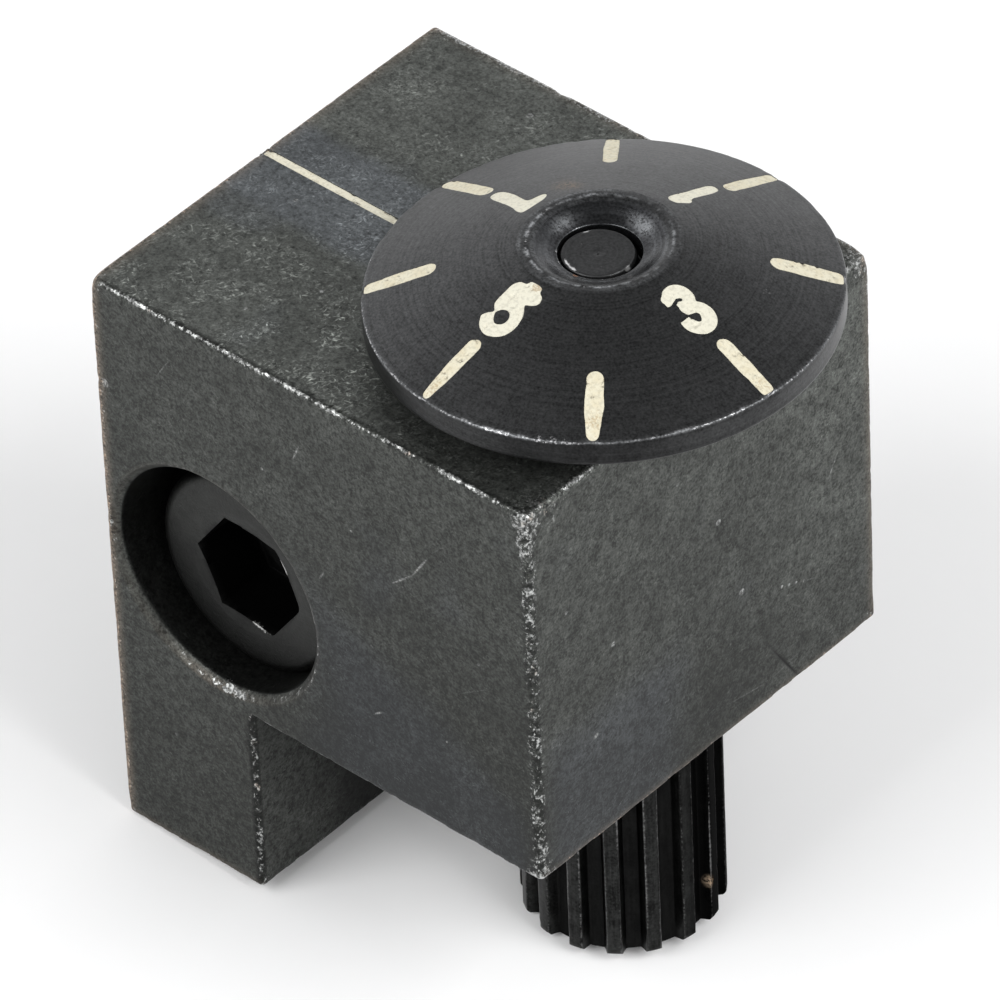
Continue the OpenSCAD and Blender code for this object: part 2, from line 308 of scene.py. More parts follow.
def segment_distance(p, a, b):
    a, b = np.array(a, float), np.array(b, float)
    t = np.clip((p - a) @ (b - a) / ((b - a) @ (b - a)), 0, 1)
    return np.linalg.norm(p - (a + t[:, None] * (b - a)), axis=1)


# Fine scratches: face, ends on that face, half-width, depth in mm, brightness (dark below 0).
SCRATCHES = [
    ("F", (16.4, 12.3), (17.5, 13.3), 0.05, 0.012, 0.55),
    ("F", (17.5, 13.3), (18.4, 14.7), 0.05, 0.012, 0.60),
    ("F", (11.1, 16.1), (11.5, 17.0), 0.05, 0.012, 0.50),
    ("F", (12.2, 10.2), (12.5, 10.7), 0.05, 0.010, 0.50),
    ("F", (15.0, 4.3), (15.4, 4.6), 0.05, 0.012, 0.60),
    ("F", (3.4, 16.3), (4.4, 17.9), 0.04, 0.008, 0.30),
    ("F", (19.6, 8.0), (21.6, 9.4), 0.04, 0.008, 0.22),
    ("R", (14.73, 2.80), (16.43, 0.11), 0.065, 0.050, -1.10),
    ("R", (12.0, 1.60), (14.5, 1.10), 0.05, 0.008, 0.28),
    ("R", (14.5, 1.10), (16.8, 1.40), 0.05, 0.008, 0.24),
    ("R", (16.6, 5.2), (17.8, 4.7), 0.04, 0.008, 0.25),
    ("R", (3.2, 15.0), (4.6, 17.6), 0.04, 0.008, 0.25),
    ("R", (18.6, 9.6), (19.2, 10.6), 0.06, 0.010, 0.45),
    ("R", (9.0, 11.0), (10.6, 13.4), 0.04, 0.006, 0.22),
    ("R", (5.0, 12.4), (6.3, 14.3), 0.04, 0.006, 0.20),
    ("R", (7.8, 5.0), (10.2, 6.3), 0.04, 0.006, 0.17),
    ("R", (2.6, 7.9), (4.2, 10.3), 0.04, 0.006, 0.18),
    ("R", (17.2, 12.0), (18.8, 14.9), 0.04, 0.006, 0.20),
    ("R", (13.6, 8.7), (15.4, 10.6), 0.04, 0.006, 0.17),
    ("F", (18.2, 14.7), (20.1, 16.6), 0.04, 0.006, 0.18),
    ("F", (19.2, 2.6), (20.6, 4.6), 0.04, 0.006, 0.17),
    ("F", (14.9, 8.1), (16.6, 9.1), 0.04, 0.006, 0.17),
    ("L", (5.0, 12.0), (7.6, 14.6), 0.05, 0.010, 0.35),
    ("L", (14.0, 3.0), (15.2, 6.4), 0.05, 0.010, 0.30),
    ("L", (9.2, -4.0), (11.8, -5.0), 0.05, 0.010, 0.35),
    ("K", (9.0, 14.0), (12.5, 15.2), 0.05, 0.010, 0.35),
    ("K", (16.0, 6.0), (18.0, 9.0), 0.05, 0.010, 0.30),
]
# Small dings: face, centre, radius, depth, brightness.
DINGS = [
    ("R", (11.64, 11.9), 0.13, 0.030, 1.0), ("R", (4.95, 9.8), 0.12, 0.025, 0.8),
    ("R", (12.98, 7.16), 0.14, 0.030, 1.0), ("R", (15.5, 5.7), 0.09, 0.015, 1.0),
    ("R", (15.95, 5.52), 0.075, 0.015, 0.9), ("R", (16.4, 5.33), 0.075, 0.015, 0.9),
    ("R", (16.9, 5.1), 0.07, 0.015, 0.8), ("R", (3.7, 5.6), 0.16, 0.020, 0.45),
    ("R", (2.2, 13.4), 0.10, 0.020, 0.5), ("R", (9.2, 15.6), 0.09, 0.015, 0.5),
    ("F", (0.45, 14.5), 0.20, 0.060, 1.0), ("F", (21.0, 10.4), 0.08, 0.015, 0.5),
    ("F", (14.2, 13.9), 0.07, 0.012, 0.5), ("F", (19.0, 5.0), 0.07, 0.012, 0.45),
    ("F", (3.2, -3.6), 0.07, 0.012, 0.4), ("F", (9.3, 14.6), 0.08, 0.015, 0.4),
    ("T", (7.2, 19.4), 0.14, 0.020, 0.9), ("T", (4.4, 4.2), 0.10, 0.015, 0.5),
    ("T", (3.3, 9.1), 0.12, 0.015, 0.6), ("T", (6.4, 2.6), 0.10, 0.015, 0.5),
    ("T", (8.1, 5.4), 0.10, 0.015, 0.6), ("T", (2.1, 15.8), 0.10, 0.015, 0.5),
    ("L", (6.0, 8.0), 0.14, 0.025, 0.7), ("L", (16.0, 15.0), 0.12, 0.020, 0.6),
    ("K", (6.0, 9.0), 0.14, 0.025, 0.7), ("K", (19.0, 15.0), 0.12, 0.020, 0.6),
]


def face_marks(face):
    """Extra points for the scratches and dings of one face, in that face's own two coordinates."""
    pts = []
    for f, a, b, w, _, _ in SCRATCHES:
        if f == face:
            a, b = np.array(a), np.array(b)
            n = max(int(np.linalg.norm(b - a) / 0.06), 2)
            d = (b - a) / np.linalg.norm(b - a)
            side = np.array([-d[1], d[0]])
            for off in (-1.7, -0.85, 0.0, 0.85, 1.7):
                for k in range(n + 1):
                    pts.append(a + (b - a) * k / n + side * off * w)
    for f, c, r, _, _ in DINGS:
        if f == face:
            pts.append(np.array(c))
            for ring, n in ((0.45, 6), (0.9, 11), (1.35, 16)):
                for k in range(n):
                    t = 2 * math.pi * (k + ring) / n
                    pts.append(np.array(c) + r * ring * np.array([math.cos(t), math.sin(t)]))
    return np.array(pts) if pts else None


# ---------------------------------------------------------------- block
RHO = 0.25
CORNERS = np.array([(0, -LEG_D), (LEG_W, -LEG_D), (LEG_W, 0), (W, 0), (W, H), (0, H)], float)
CONVEX = [True, True, False, True, True, True]
FRONT_R = [0.22, 0.26, 0.20, 0.36, 0.20, 0.15]        # edge radius along each side, front and back
BACK_R = [0.25, 0.25, 0.25, 0.28, 0.25, 0.25]
LONG_R = [0.24, 0.22, 0.0, 0.20, 0.24, 0.22]          # along the edges that run to the back
SEG = 6


def block_mesh():
    b = Build()
    nxt = np.roll(CORNERS, -1, axis=0)
    length = np.linalg.norm(nxt - CORNERS, axis=1)
    t = (nxt - CORNERS) / length[:, None]
    n = np.stack([t[:, 1], -t[:, 0]], 1)
    groove = [AY - 0.21, AY - 0.20, AY + 0.20, AY + 0.21]

    def lift(xz, y):
        return np.stack([xz[..., 0], np.broadcast_to(y, xz[..., 0].shape), xz[..., 1]], -1)

    def loops(radii, h, back):
        """Rows of the rounded edge from the flat face (first) to the full outline (last), and each side's own columns."""
        spans = []
        for i in range(6):
            s0 = RHO if CONVEX[i] else 0.0
            s1 = length[i] - (RHO if CONVEX[(i + 1) % 6] else 0.0)
            m = int(round((s1 - s0) / h))
            s = np.linspace(s0, s1, m + 1)
            d = np.minimum(s - RHO, length[i] - RHO - s)
            r = RHO + (radii[i] - RHO) * step(0.0, 1.3, np.clip(d, 0, None))
            if not CONVEX[i]:
                r = RHO + (radii[i] - RHO) * step(0.0, 1.3, s) * step(0.0, 1.3, length[i] - RHO - s)
                sh = -(1 - step(0.0, 1.0, s))
            elif not CONVEX[(i + 1) % 6]:
                r = RHO + (radii[i] - RHO) * step(0.0, 1.3, s - RHO) * step(0.0, 1.3, length[i] - s)
                sh = 1 - step(0.0, 1.0, length[i] - s)
            else:
                sh = np.zeros_like(s)
            spans.append((i, s, r, sh))
        out = []
        for k in range(SEG + 1):
            phi = math.pi / 2 * k / SEG
            ring, ys = [], []
            for i, s, r, sh in spans:
                delta, y = r * (1 - math.sin(phi)), r * (1 - math.cos(phi))
                p = CORNERS[i] + t[i] * (s + sh * delta)[:, None] - n[i] * delta[:, None]
                j = (i + 1) % 6
                if not CONVEX[j]:
                    p, y = p[:-1], y[:-1]
                ring.append(p)
                ys.append(y)
                if CONVEX[j]:
                    c = CORNERS[j] - RHO * t[i] + RHO * t[j]
                    a = np.linspace(0, math.pi / 2, SEG + 1)[1:-1]
                    ring.append(c + RHO * math.sin(phi) * (np.cos(a)[:, None] * n[i] + np.sin(a)[:, None] * n[j]))
                    ys.append(np.full(SEG - 1, RHO * (1 - math.cos(phi))))
            ring, ys = np.vstack(ring), np.concatenate(ys)
            out.append(lift(ring, D - ys if back else ys))
        return np.array(out), spans

    front, fs = loops(FRONT_R, 0.10, False)
    back, bs = loops(BACK_R, 0.17, True)
    b.grid(front, closed=True, flip=True)
    b.grid(back, closed=True)

    # flat front and back faces
    p, f = fill([front[0][:, [0, 2]], circle(HOLE_X, HOLE_Z, 5.85)], extra=face_marks("F"), seed=2)
    b.add(lift(p, np.zeros(len(p))), f)
    p, f = fill([back[0][:, [0, 2]], circle(HOLE_X, HOLE_Z, 3.80)], extra=face_marks("K"), seed=3,
                bands=((0.0, 0.4, 0.18), (0.4, 1.4, 0.32), (1.4, 99.0, 0.55)))
    b.add(lift(p, np.full(len(p), D)), f, flip=True)

    # screw hole
    hole = [(5.85, 0), (5.81, .025), (5.76, .08), (5.66, .18), (5.56, .28), (5.515, .34), (5.5, .42), (5.5, .6),
            (5.5, .9), (5.5, 1.4), (5.5, 2.2), (5.5, 3.2), (5.5, 4.4), (5.5, 5.6), (5.5, 6.6), (5.5, 7.3), (5.5, 7.55),
            (5.45, 7.6), (5.0, 7.6), (4.3, 7.6), (3.7, 7.6), (3.5, 7.62), (3.5, 7.8), (3.5, 10), (3.5, 14), (3.5, 18),
            (3.5, 20.6), (3.5, 21.2), (3.56, 21.29), (3.7, 21.42), (3.80, D)]
    b.grid(np.array([lift(circle(HOLE_X, HOLE_Z, r), y) for r, y in hole]), closed=True)

    # edges that run from front to back
    ys = np.linspace(RHO, D - RHO, 211)
    ys = np.sort(np.concatenate([ys[np.abs(ys - AY) > 0.26], groove, [AY - 0.1, AY, AY + 0.1, AY - 0.3, AY + 0.3]]))
    coarse = np.linspace(RHO, D - RHO, 90)
    strips = {}
    for c in range(6):
        i = (c - 1) % 6
        if not CONVEX[c]:
            strips[c] = (coarse, np.zeros_like(coarse))
            continue
        r = RHO + (LONG_R[c] - RHO) * step(0.0, 1.3, ys - RHO) * step(0.0, 1.3, D - RHO - ys)
        g = []
        for y, rr in zip(ys, r):
            centre = CORNERS[c] - rr * t[i] + rr * t[c]
            an = np.linspace(0, math.pi / 2, SEG + 1)
            g.append(lift(centre + rr * (np.cos(an)[:, None] * n[i] + np.sin(an)[:, None] * n[c]), y))
        strips[c] = (ys, r)
        b.grid(np.array(g), flip=True)

    # flat sides
    names = ["B", "G", "U", "R", "T", "L"]
    for i in range(6):
        _, s, r, _ = fs[i]
        _, s2, r2, _ = bs[i]
        y_end, r_end = strips[(i + 1) % 6]
        y_start, r_start = strips[i]
        outline = np.vstack([np.stack([s, r], 1), np.stack([length[i] - r_end, y_end], 1),
                             np.stack([s2, D - r2], 1)[::-1], np.stack([r_start, y_start], 1)[::-1]])
        rings, lines, extra = [outline], [], None
        bands = BANDS
        if names[i] == "T":
            rings.append(circle(W - AX, AY, 3.29, 144))
            x = np.concatenate([np.arange(10.49, 0.6, -0.3), [LONG_R[5]]])
            for y, x0 in ((groove[0], 10.5), (groove[1], 10.49), (groove[2], 10.49), (groove[3], 10.5)):
                xs = np.concatenate([[x0], x[1:]])
                lines.append(np.stack([W - xs, np.full(len(xs), y)], 1))
            lines.append(np.array([(W - 10.5, groove[0]), (W - 10.5, groove[3])]))
            lines.append(np.array([(W - 10.49, groove[1]), (W - 10.49, groove[2])]))
            m = face_marks("T")
            m[:, 0] = W - m[:, 0]
            extra = m
        elif names[i] == "U":
            rings.append(circle(AX - LEG_W, AY, 3.29, 144))
            bands = ((0.0, 0.35, 0.14), (0.35, 1.2, 0.3), (1.2, 99.0, 0.6))
        elif names[i] == "R":
            m = face_marks("R")
            extra = m[:, ::-1]
        elif names[i] == "L":
            m = face_marks("L")
            extra = np.stack([H - m[:, 1], m[:, 0]], 1)
            bands = ((0.0, 0.35, 0.13), (0.35, 1.2, 0.26), (1.2, 99.0, 0.5))
        p, f = fill(rings, bands=bands, extra=extra, lines=lines, seed=4 + i)
        b.add(lift(CORNERS[i] + t[i] * p[:, :1], p[:, 1]), f, flip=True)

    # spindle bore
    bore = [(3.29, H), (3.2, H - .1), (3.04, H - .25), (3.04, H - 3), (3.04, 10), (3.04, 3), (3.04, .25), (3.2, .1), (3.29, 0)]
    b.grid(np.array([np.column_stack([circle(AX, AY, r, 144), np.full(144, float(z))]) for r, z in bore]), closed=True)
    b.weld()
    in_groove = (np.abs(b.p[:, 1] - AY) < 0.2003) & (b.p[:, 0] < 10.4905) & (b.p[:, 2] > H - 0.15)
    b.p[in_groove, 2] = H - 0.15
    return b


def bump_field(p, n, size, seed, depth):
    """Gentle unevenness, always inwards."""
    return -n * (depth * fbm(p, size, seed))[:, None]


def finish_block(b):
    """Nicks, dings, scratches and the fields that the block's material reads."""
    p, n = b.p, b.normals()
    hole_r = np.hypot(p[:, 0] - HOLE_X, p[:, 2] - HOLE_Z)
    bore_r = np.hypot(p[:, 0] - AX, p[:, 1] - AY)
    inner = ((hole_r < 5.86) & (p[:, 1] > 0.02) & (p[:, 1] < D - 0.02) & (p[:, 0] > 0.05)) | ((bore_r < 3.3) & (p[:, 2] > -0.01))
    inner &= ~((hole_r > 5.0) & (p[:, 1] > 7.7))
    inner = inner & ((hole_r < 5.52) | (bore_r < 3.3) | ((hole_r < 5.86) & (p[:, 1] < 0.5)))
    in_groove = (np.abs(p[:, 1] - AY) < 0.215) & (p[:, 0] < 10.51) & (p[:, 2] > H - 0.2) & (p[:, 2] < H + 0.01)
    outer = ~inner & ~in_groove

    ds = np.array([segment_distance(p, a, c) for a, c, _, _ in EDGES])
    edge = ds.min(0)
    wear_and_highlight = np.zeros(len(p))
    for k, (a, c, w, s) in enumerate(EDGES):
        along = 0.55 + 0.9 * noise(p, 1.3, 40 + k)
        if k == 0:
            along = along + 0.65 * np.exp(-((p[:, 0] - 2.9) / 1.5) ** 2) + 0.25 * np.exp(-((p[:, 0] - 20.5) / 2.5) ** 2)
        if k in (4, 5, 9):               # thin brown lines, hardly broken
            along = 0.85 + 0.35 * noise(p, 0.8, 40 + k)
        if k == 7:                       # more worn towards the top
            along = along * (1 + 0.7 * step(9, 17, p[:, 2]))
        if k == 1:                       # the rounded upright: a speckled band, widest at both ends
            ends = 0.70 + 0.30 * np.maximum(step(13.5, 19.0, p[:, 2]), step(6.0, 1.0, p[:, 2]))
            wide = 0.50 + 0.26 * step(15.5, 19.8, p[:, 2]) + 0.12 * step(3.0, 0.5, p[:, 2])
            band = np.exp(-(ds[k] / wide) ** 4)
            wear_and_highlight = np.maximum(wear_and_highlight, s * band * along * ends)
        else:
            wear_and_highlight = np.maximum(wear_and_highlight, s * np.exp(-(ds[k] / w) ** 2) * along)
    rub = np.zeros(len(p))               # a soft brownish sheen along some edges
    for k, s, w in ((4, .50, .42), (5, .80, .34), (9, .34, .28), (7, .46, .38), (3, .42, .40), (13, .34, .30), (15, .42, .32)):
        rub = np.maximum(rub, s * np.exp(-(ds[k] / w) ** 2) * (0.75 + 0.5 * noise(p, 0.9, 140 + k)))
    # worn corners
    for c, r, s in (((24, 0, 20), 1.65, 0.46), ((24, 0, 0), 0.8, 0.9), ((0, 0, 20), 0.7, 0.8), ((0, 21.5, 20), 0.8, 0.7),
                    ((24, 21.5, 20), 1.15, 0.95), ((24, 21.5, 0), 0.7, 0.7), ((7.8, 0, -9.85), 0.6, 0.7), ((0, 0, -9.85), 0.6, 0.6)):
        q = (p - np.array(c)) * np.array([1.0, 0.62, 1.0] if c == (24, 0, 20) else [1, 1, 1])
        d = np.linalg.norm(q, axis=1)
        wear_and_highlight = np.maximum(wear_and_highlight, s * np.exp(-(d / r) ** 2) * (0.6 + 0.6 * noise(p, 0.7, 71)))
    # rim of the counterbore, brightest at the lower left
    ang = np.degrees(np.arctan2(p[:, 2] - HOLE_Z, p[:, 0] - HOLE_X)) % 360
    arc = 0.11 + 0.84 * np.exp(-((ang - 275.5) / 8.5) ** 2) + 0.15 * np.exp(-((ang - 256) / 24) ** 2) + 0.16 * np.exp(-((ang - 325) / 28) ** 2) + 0.34 * np.exp(-((ang - 108) / 9) ** 2)
    front = p[:, 1] < 0.6
    wear_and_highlight = np.where(front, np.maximum(wear_and_highlight, arc * np.exp(-((hole_r - 5.71) / 0.19) ** 2)), wear_and_highlight)
    # painted highlight: thin light lines along the counterbore's outer edge at three angles, laid into the wear field
    lit = np.exp(-(((ang - 342 + 180) % 360 - 180) / 34) ** 2) + 0.8 * np.exp(-((ang - 104) / 16) ** 2) + 0.5 * np.exp(-((ang - 235) / 22) ** 2)
    wear_and_highlight = np.where(front, np.maximum(wear_and_highlight, 0.46 * lit * np.exp(-((hole_r - 5.87) / 0.06) ** 2)), wear_and_highlight)
    rub = np.where(front, np.maximum(rub, (0.30 * np.exp(-((ang - 266) / 20) ** 2) + 0.10) * np.exp(-((hole_r - 5.74) / 0.13) ** 2)), rub)
    wear_and_highlight = np.where(inner & ~front, 0.0, wear_and_highlight)

    mark = np.zeros(len(p))
    push = np.zeros(len(p))
    faces = {"F": (p[:, 1] < 0.01, (0, 2)), "K": (p[:, 1] > D - 0.01, (0, 2)), "R": (p[:, 0] > W - 0.01, (1, 2)),
             "L": (p[:, 0] < 0.01, (1, 2)), "T": (p[:, 2] > H - 0.01, (0, 1))}
    for f, a, c, w, depth, s in SCRATCHES:
        on, ax = faces[f]
        q = p[:, ax]
        a, c = np.array(a), np.array(c)
        t = np.clip((q - a) @ (c - a) / ((c - a) @ (c - a)), 0, 1)
        d = np.linalg.norm(q - (a + t[:, None] * (c - a)), axis=1)
        g = np.where(on, np.exp(-(d / w) ** 2) * (0.35 + 0.65 * np.sin(np.pi * np.clip(t, 0.06, 0.94))), 0)
        push = np.maximum(push, depth * g)
        mark = np.where(np.abs(s * g) > np.abs(mark), s * g, mark)
    for f, c, r, depth, s in DINGS:
        on, ax = faces[f]
        d = np.linalg.norm(p[:, ax] - np.array(c), axis=1)
        g = np.where(on, np.exp(-(d / r) ** 4), 0)
        push = np.maximum(push, depth * g)
        mark = np.where(np.abs(s * g) > np.abs(mark), s * g, mark)

    # nicks along the edges
    nick = step(0.60, 0.86, noise(p, 0.45, 5)) * 0.035 + step(0.72, 0.9, noise(p, 1.9, 6)) * 0.035
    nick = nick * np.where(p[:, 0] < 0.5, 0.4, 1.0)
    push = np.maximum(push, np.where(outer, nick * np.exp(-(edge / 0.16) ** 2), 0))
    for c, r, depth in (((7.7, 0, 20), 0.22, 0.12), ((0, 0, 20), 0.36, 0.13), ((10.0, 0, 20), 0.3, 0.09), ((1.9, 0, 20), 0.3, 0.10), ((24, 0, 13.1), 0.2, 0.06),
                        ((0.0, 0, 14.5), 0.20, 0.04), ((13.9, 0, 20), 0.25, 0.07), ((0.0, AY, 20), 0.32, 0.12),
                        ((7.2, 21.5, 20), 0.3, 0.08), ((3.1, 0, 20), 0.2, 0.08), ((24, 21.5, 20), 0.62, 0.17)):
        d = np.linalg.norm(p - np.array(c), axis=1)
        push = np.maximum(push, np.where(outer, depth * np.exp(-(d / r) ** 2), 0))
    lip = np.where(front & (np.abs(hole_r - 5.85) < 0.06), step(0.6, 0.85, noise(p, 0.6, 9)) * 0.03, 0)
    push = np.maximum(push, lip)
    push += np.where(outer, 0.010 * fbm(p, 3.2, 21), 0)
    b.p = p - n * push[:, None]

    # smoother bluish patches
    wob = (fbm(p, 2.2, 30) - 0.5) * 2.2
    y, z, x = p[:, 1], p[:, 2], p[:, 0]
    right = x > W - 0.4
    r_patch = step(10.2, 7.0, y + wob) * step(0.2, 1.6, y) * step(8.4, 5.2, z + wob * 0.8)
    line = 10.3 - (x - 12) * 0.6
    f_patch = step(1.0, -2.6, z - line + wob) * step(9.5, 14.0, x + wob) * step(23.9, 22.6, x)
    t_patch = step(7.4, 8.3, y + 0.35 * wob) * step(13.6, 12.7, y + 0.35 * wob)
    under = step(AY - 2.2, AY - 0.4, y + wob)
    blue = np.where(right, r_patch, 0)
    blue = np.maximum(blue, np.where(p[:, 1] < 0.4, f_patch, 0))
    blue = np.maximum(blue, np.where(p[:, 2] > H - 0.3, t_patch, 0))
    blue = np.maximum(blue, 0.55 * step(0.62, 0.78, fbm(p, 5.0, 33)))
    # painted light and shade: the front face darker towards the bottom, most on its right half; the right face lighter
    # towards the back and the top and darker low down; the top face lighter than both and lighter towards the back
    painted_light_and_shade = np.ones(len(p))
    front_face, top_face = (p[:, 1] < 0.3) & ~inner, p[:, 2] > H - 0.3
    painted_light_and_shade = np.where(front_face, 0.545 - (17 - z) * (0.004 + 0.0115 * step(6, 13, x)), painted_light_and_shade)
    painted_light_and_shade = np.where(right & ~front_face, 0.578 + 0.235 * step(12, 19, y) + 0.075 * step(10, 16, z) - 0.205 * step(8, 2, z), painted_light_and_shade)
    painted_light_and_shade = np.where(top_face & ~front_face, 1.12 + 0.12 * step(3, 16, y) + 0.05 * step(8, 3, x) + 0.18 * t_patch, painted_light_and_shade)
    # painted shade: the leg's right side under the block, darker away from the front, the insides of the bores, and the
    # counterbore's chamfer
    leg_side = (np.abs(x - LEG_W) < 0.3) & (z < -0.05)
    bore_and_leg_shade = np.where(leg_side, 0.55 + 0.45 * step(3.2, 6.2, y + wob * 0.6), 0)
    top = p[:, 2] > H - 0.05
    bore_and_leg_shade = np.maximum(bore_and_leg_shade, np.where(inner, np.where(front & (hole_r > 5.52), 0.55, 0.93), 0))
    return {"wear_and_highlight": np.clip(wear_and_highlight, 0, 1.3), "mark": mark, "blue": np.clip(blue, 0, 1), "bore_and_leg_shade": bore_and_leg_shade,
            "top": top.astype(float), "painted_light_and_shade": painted_light_and_shade, "rub": np.where(outer | (front & (hole_r > 5.55)), rub, 0),
            "fleck": np.where(top_face, 0.90 + (0.65 + 1.05 * step(4.5, 8.5, x)) * step(13.5, 4.0, y) * step(17, 11, x), 0.45),
            "warm": np.where(((x < 0.3) & ~(hole_r < 5.9)) | ((x > W - 0.3) & (z < 0.25) & (y > 1.0)), 0.85, 0.0), "loc": p}


# ---------------------------------------------------------------- flat shapes on the dial
def sd_circle(q, c, r):
    return np.linalg.norm(q - np.array(c), axis=-1) - r


def sd_taper(q, a, b, *widths):
    a, b = np.array(a, float), np.array(b, float)
    t = np.clip((q - a) @ (b - a) / ((b - a) @ (b - a)), 0, 1)
    return np.linalg.norm(q - (a + t[..., None] * (b - a)), axis=-1) - np.interp(t, np.linspace(0, 1, len(widths)), widths) / 2


def sd_poly(q, pts):
    pts = np.array(pts, float)
    shape = q.shape[:-1]
    q = q.reshape(-1, 2)
    best = np.full(len(q), 1e9)
    for a, b in zip(pts, np.roll(pts, -1, axis=0)):
        t = np.clip((q - a) @ (b - a) / max((b - a) @ (b - a), 1e-12), 0, 1)
        best = np.minimum(best, np.linalg.norm(q - (a + t[:, None] * (b - a)), axis=1))
    return np.where(inside([pts], q), -best, best).reshape(shape)


def contours(f, x0, y0, h):
    """Closed outlines of the area where the field is negative, counter-clockwise round it."""
    cases = {1: [(3, 0)], 2: [(0, 1)], 3: [(3, 1)], 4: [(1, 2)], 5: [(3, 0), (1, 2)], 6: [(0, 2)], 7: [(3, 2)],
             8: [(2, 3)], 9: [(2, 0)], 10: [(0, 1), (2, 3)], 11: [(2, 1)], 12: [(1, 3)], 13: [(1, 0)], 14: [(0, 3)]}
    neg = f < 0
    code = neg[:-1, :-1] * 1 + neg[:-1, 1:] * 2 + neg[1:, 1:] * 4 + neg[1:, :-1] * 8
    follow, place = {}, {}

    def corner(i, j, e):
        if e == 0:
            k, a, b = (0, i, j), (i, j), (i, j + 1)
        elif e == 1:
            k, a, b = (1, i, j + 1), (i, j + 1), (i + 1, j + 1)
        elif e == 2:
            k, a, b = (0, i + 1, j), (i + 1, j), (i + 1, j + 1)
        else:
            k, a, b = (1, i, j), (i, j), (i + 1, j)
        fa, fb = f[a], f[b]
        t = fa / (fa - fb)
        place[k] = (x0 + h * (a[1] + (b[1] - a[1]) * t), y0 + h * (a[0] + (b[0] - a[0]) * t))
        return k

    for i, j in zip(*np.nonzero((code > 0) & (code < 15))):
        for e0, e1 in cases[int(code[i, j])]:
            follow[corner(i, j, e1)] = corner(i, j, e0)
    rings = []
    while follow:
        start = next(iter(follow))
        k, ring = start, []
        while k in follow:
            ring.append(place[k])
            k = follow.pop(k)
        rings.append(np.array(ring))
    out = []
    for r in rings:
        if len(r) < 8:
            continue
        d = np.linalg.norm(np.roll(r, -1, axis=0) - r, axis=1)
        s = np.concatenate([[0], np.cumsum(d)])
        m = max(int(s[-1] / 0.06), 12)
        q = np.arange(m) / m * s[-1]
        closed = np.vstack([r, r[:1]])
        out.append(np.stack([np.interp(q, s, closed[:, 0]), np.interp(q, s, closed[:, 1])], 1))
    return out


def outline(field, box, seed, wobble=0.016):
    x0, y0, x1, y1 = box
    h = 0.04
    gx, gy = np.meshgrid(np.arange(x0, x1, h), np.arange(y0, y1, h))
    q = np.stack([gx, gy], -1)
    q3 = np.concatenate([q, np.zeros(q.shape[:-1] + (1,))], -1)
    f = field(q) + (noise(q3, 0.35, seed) - 0.5) * wobble * 2 + (noise(q3, 0.16, seed + 3) - 0.5) * wobble
    return contours(f, x0, y0, h)


# inner end, outer end and width at the ends and the middle, in the plane of the rim with the cone's centre at 0
MARKS = [((4.55, -5.65), (5.94, -7.47), .70, .81, .54), ((7.29, -0.81), (9.58, -1.01), .67, .68, .60), ((5.62, 4.50), (7.32, 6.14), .70, .81, .72),
         ((0.83, 7.12), (0.85, 9.52), .66, .67, .58), ((-4.20, 5.34), (-5.96, 7.44), .60, .66, .60), ((-7.03, 0.76), (-9.41, 1.15), .68, .72, .66),
         ((-5.53, -4.50), (-7.50, -5.92), .72, .76, .62), ((-0.74, -7.08), (-1.09, -9.54), .66, .66, .42)]
TURN = math.radians(-51.3)


def arc_points(c, r, a0, a1, n):
    a = np.radians(np.linspace(a0, a1, n + 1))
    return [(c[0] + r * math.cos(t), c[1] + r * math.sin(t)) for t in a]


def rounded(pts, times=2):
    """The polygon with its corners cut."""
    p = np.array(pts, float)
    for _ in range(times):
        q = np.roll(p, -1, axis=0)
        p = np.stack([0.78 * p + 0.22 * q, 0.22 * p + 0.78 * q], 1).reshape(-1, 2)
    return p


ONE = rounded([(-0.54, 2.02), (-0.44, 2.24), (-0.27, 2.56), (0.06, 2.66), (0.30, 2.52), (0.34, 2.3), (0.34, 1.8), (0.36, 0.92), (0.43, 0.36),
               (0.34, 0.04), (0.12, -0.02), (-0.14, 0.1), (-0.23, 0.6), (-0.25, 1.4), (-0.28, 1.74), (-0.46, 1.84)])
FIVE = rounded([(-0.40, 0.98), (-0.60, 1.12), (-0.75, 1.30), (-0.76, 1.8), (-0.75, 2.32), (-0.55, 2.57), (-0.18, 2.61), (-0.15, 2.82), (0.20, 2.86), (0.53, 2.82),
                (0.57, 2.60), (0.82, 2.52), (0.95, 2.28), (0.88, 2.08), (0.62, 1.92), (0.46, 1.84), (0.78, 1.50)] +
               arc_points((0.06, 0.88), 0.89, 20, -152, 22) + [(-0.80, 0.58), (-0.66, 0.80)])
SEVEN = rounded([(-0.74, 2.38), (-0.46, 2.62), (0.2, 2.64), (0.82, 2.65), (0.88, 2.36), (0.66, 1.74), (0.57, 1.08), (0.50, 0.42), (0.36, 0.06), (0.12, -0.04),
                 (-0.13, 0.06), (-0.24, 0.34), (-0.20, 0.92), (-0.08, 1.48), (0.02, 1.90), (-0.06, 2.07), (-0.52, 2.11), (-0.72, 2.22)])


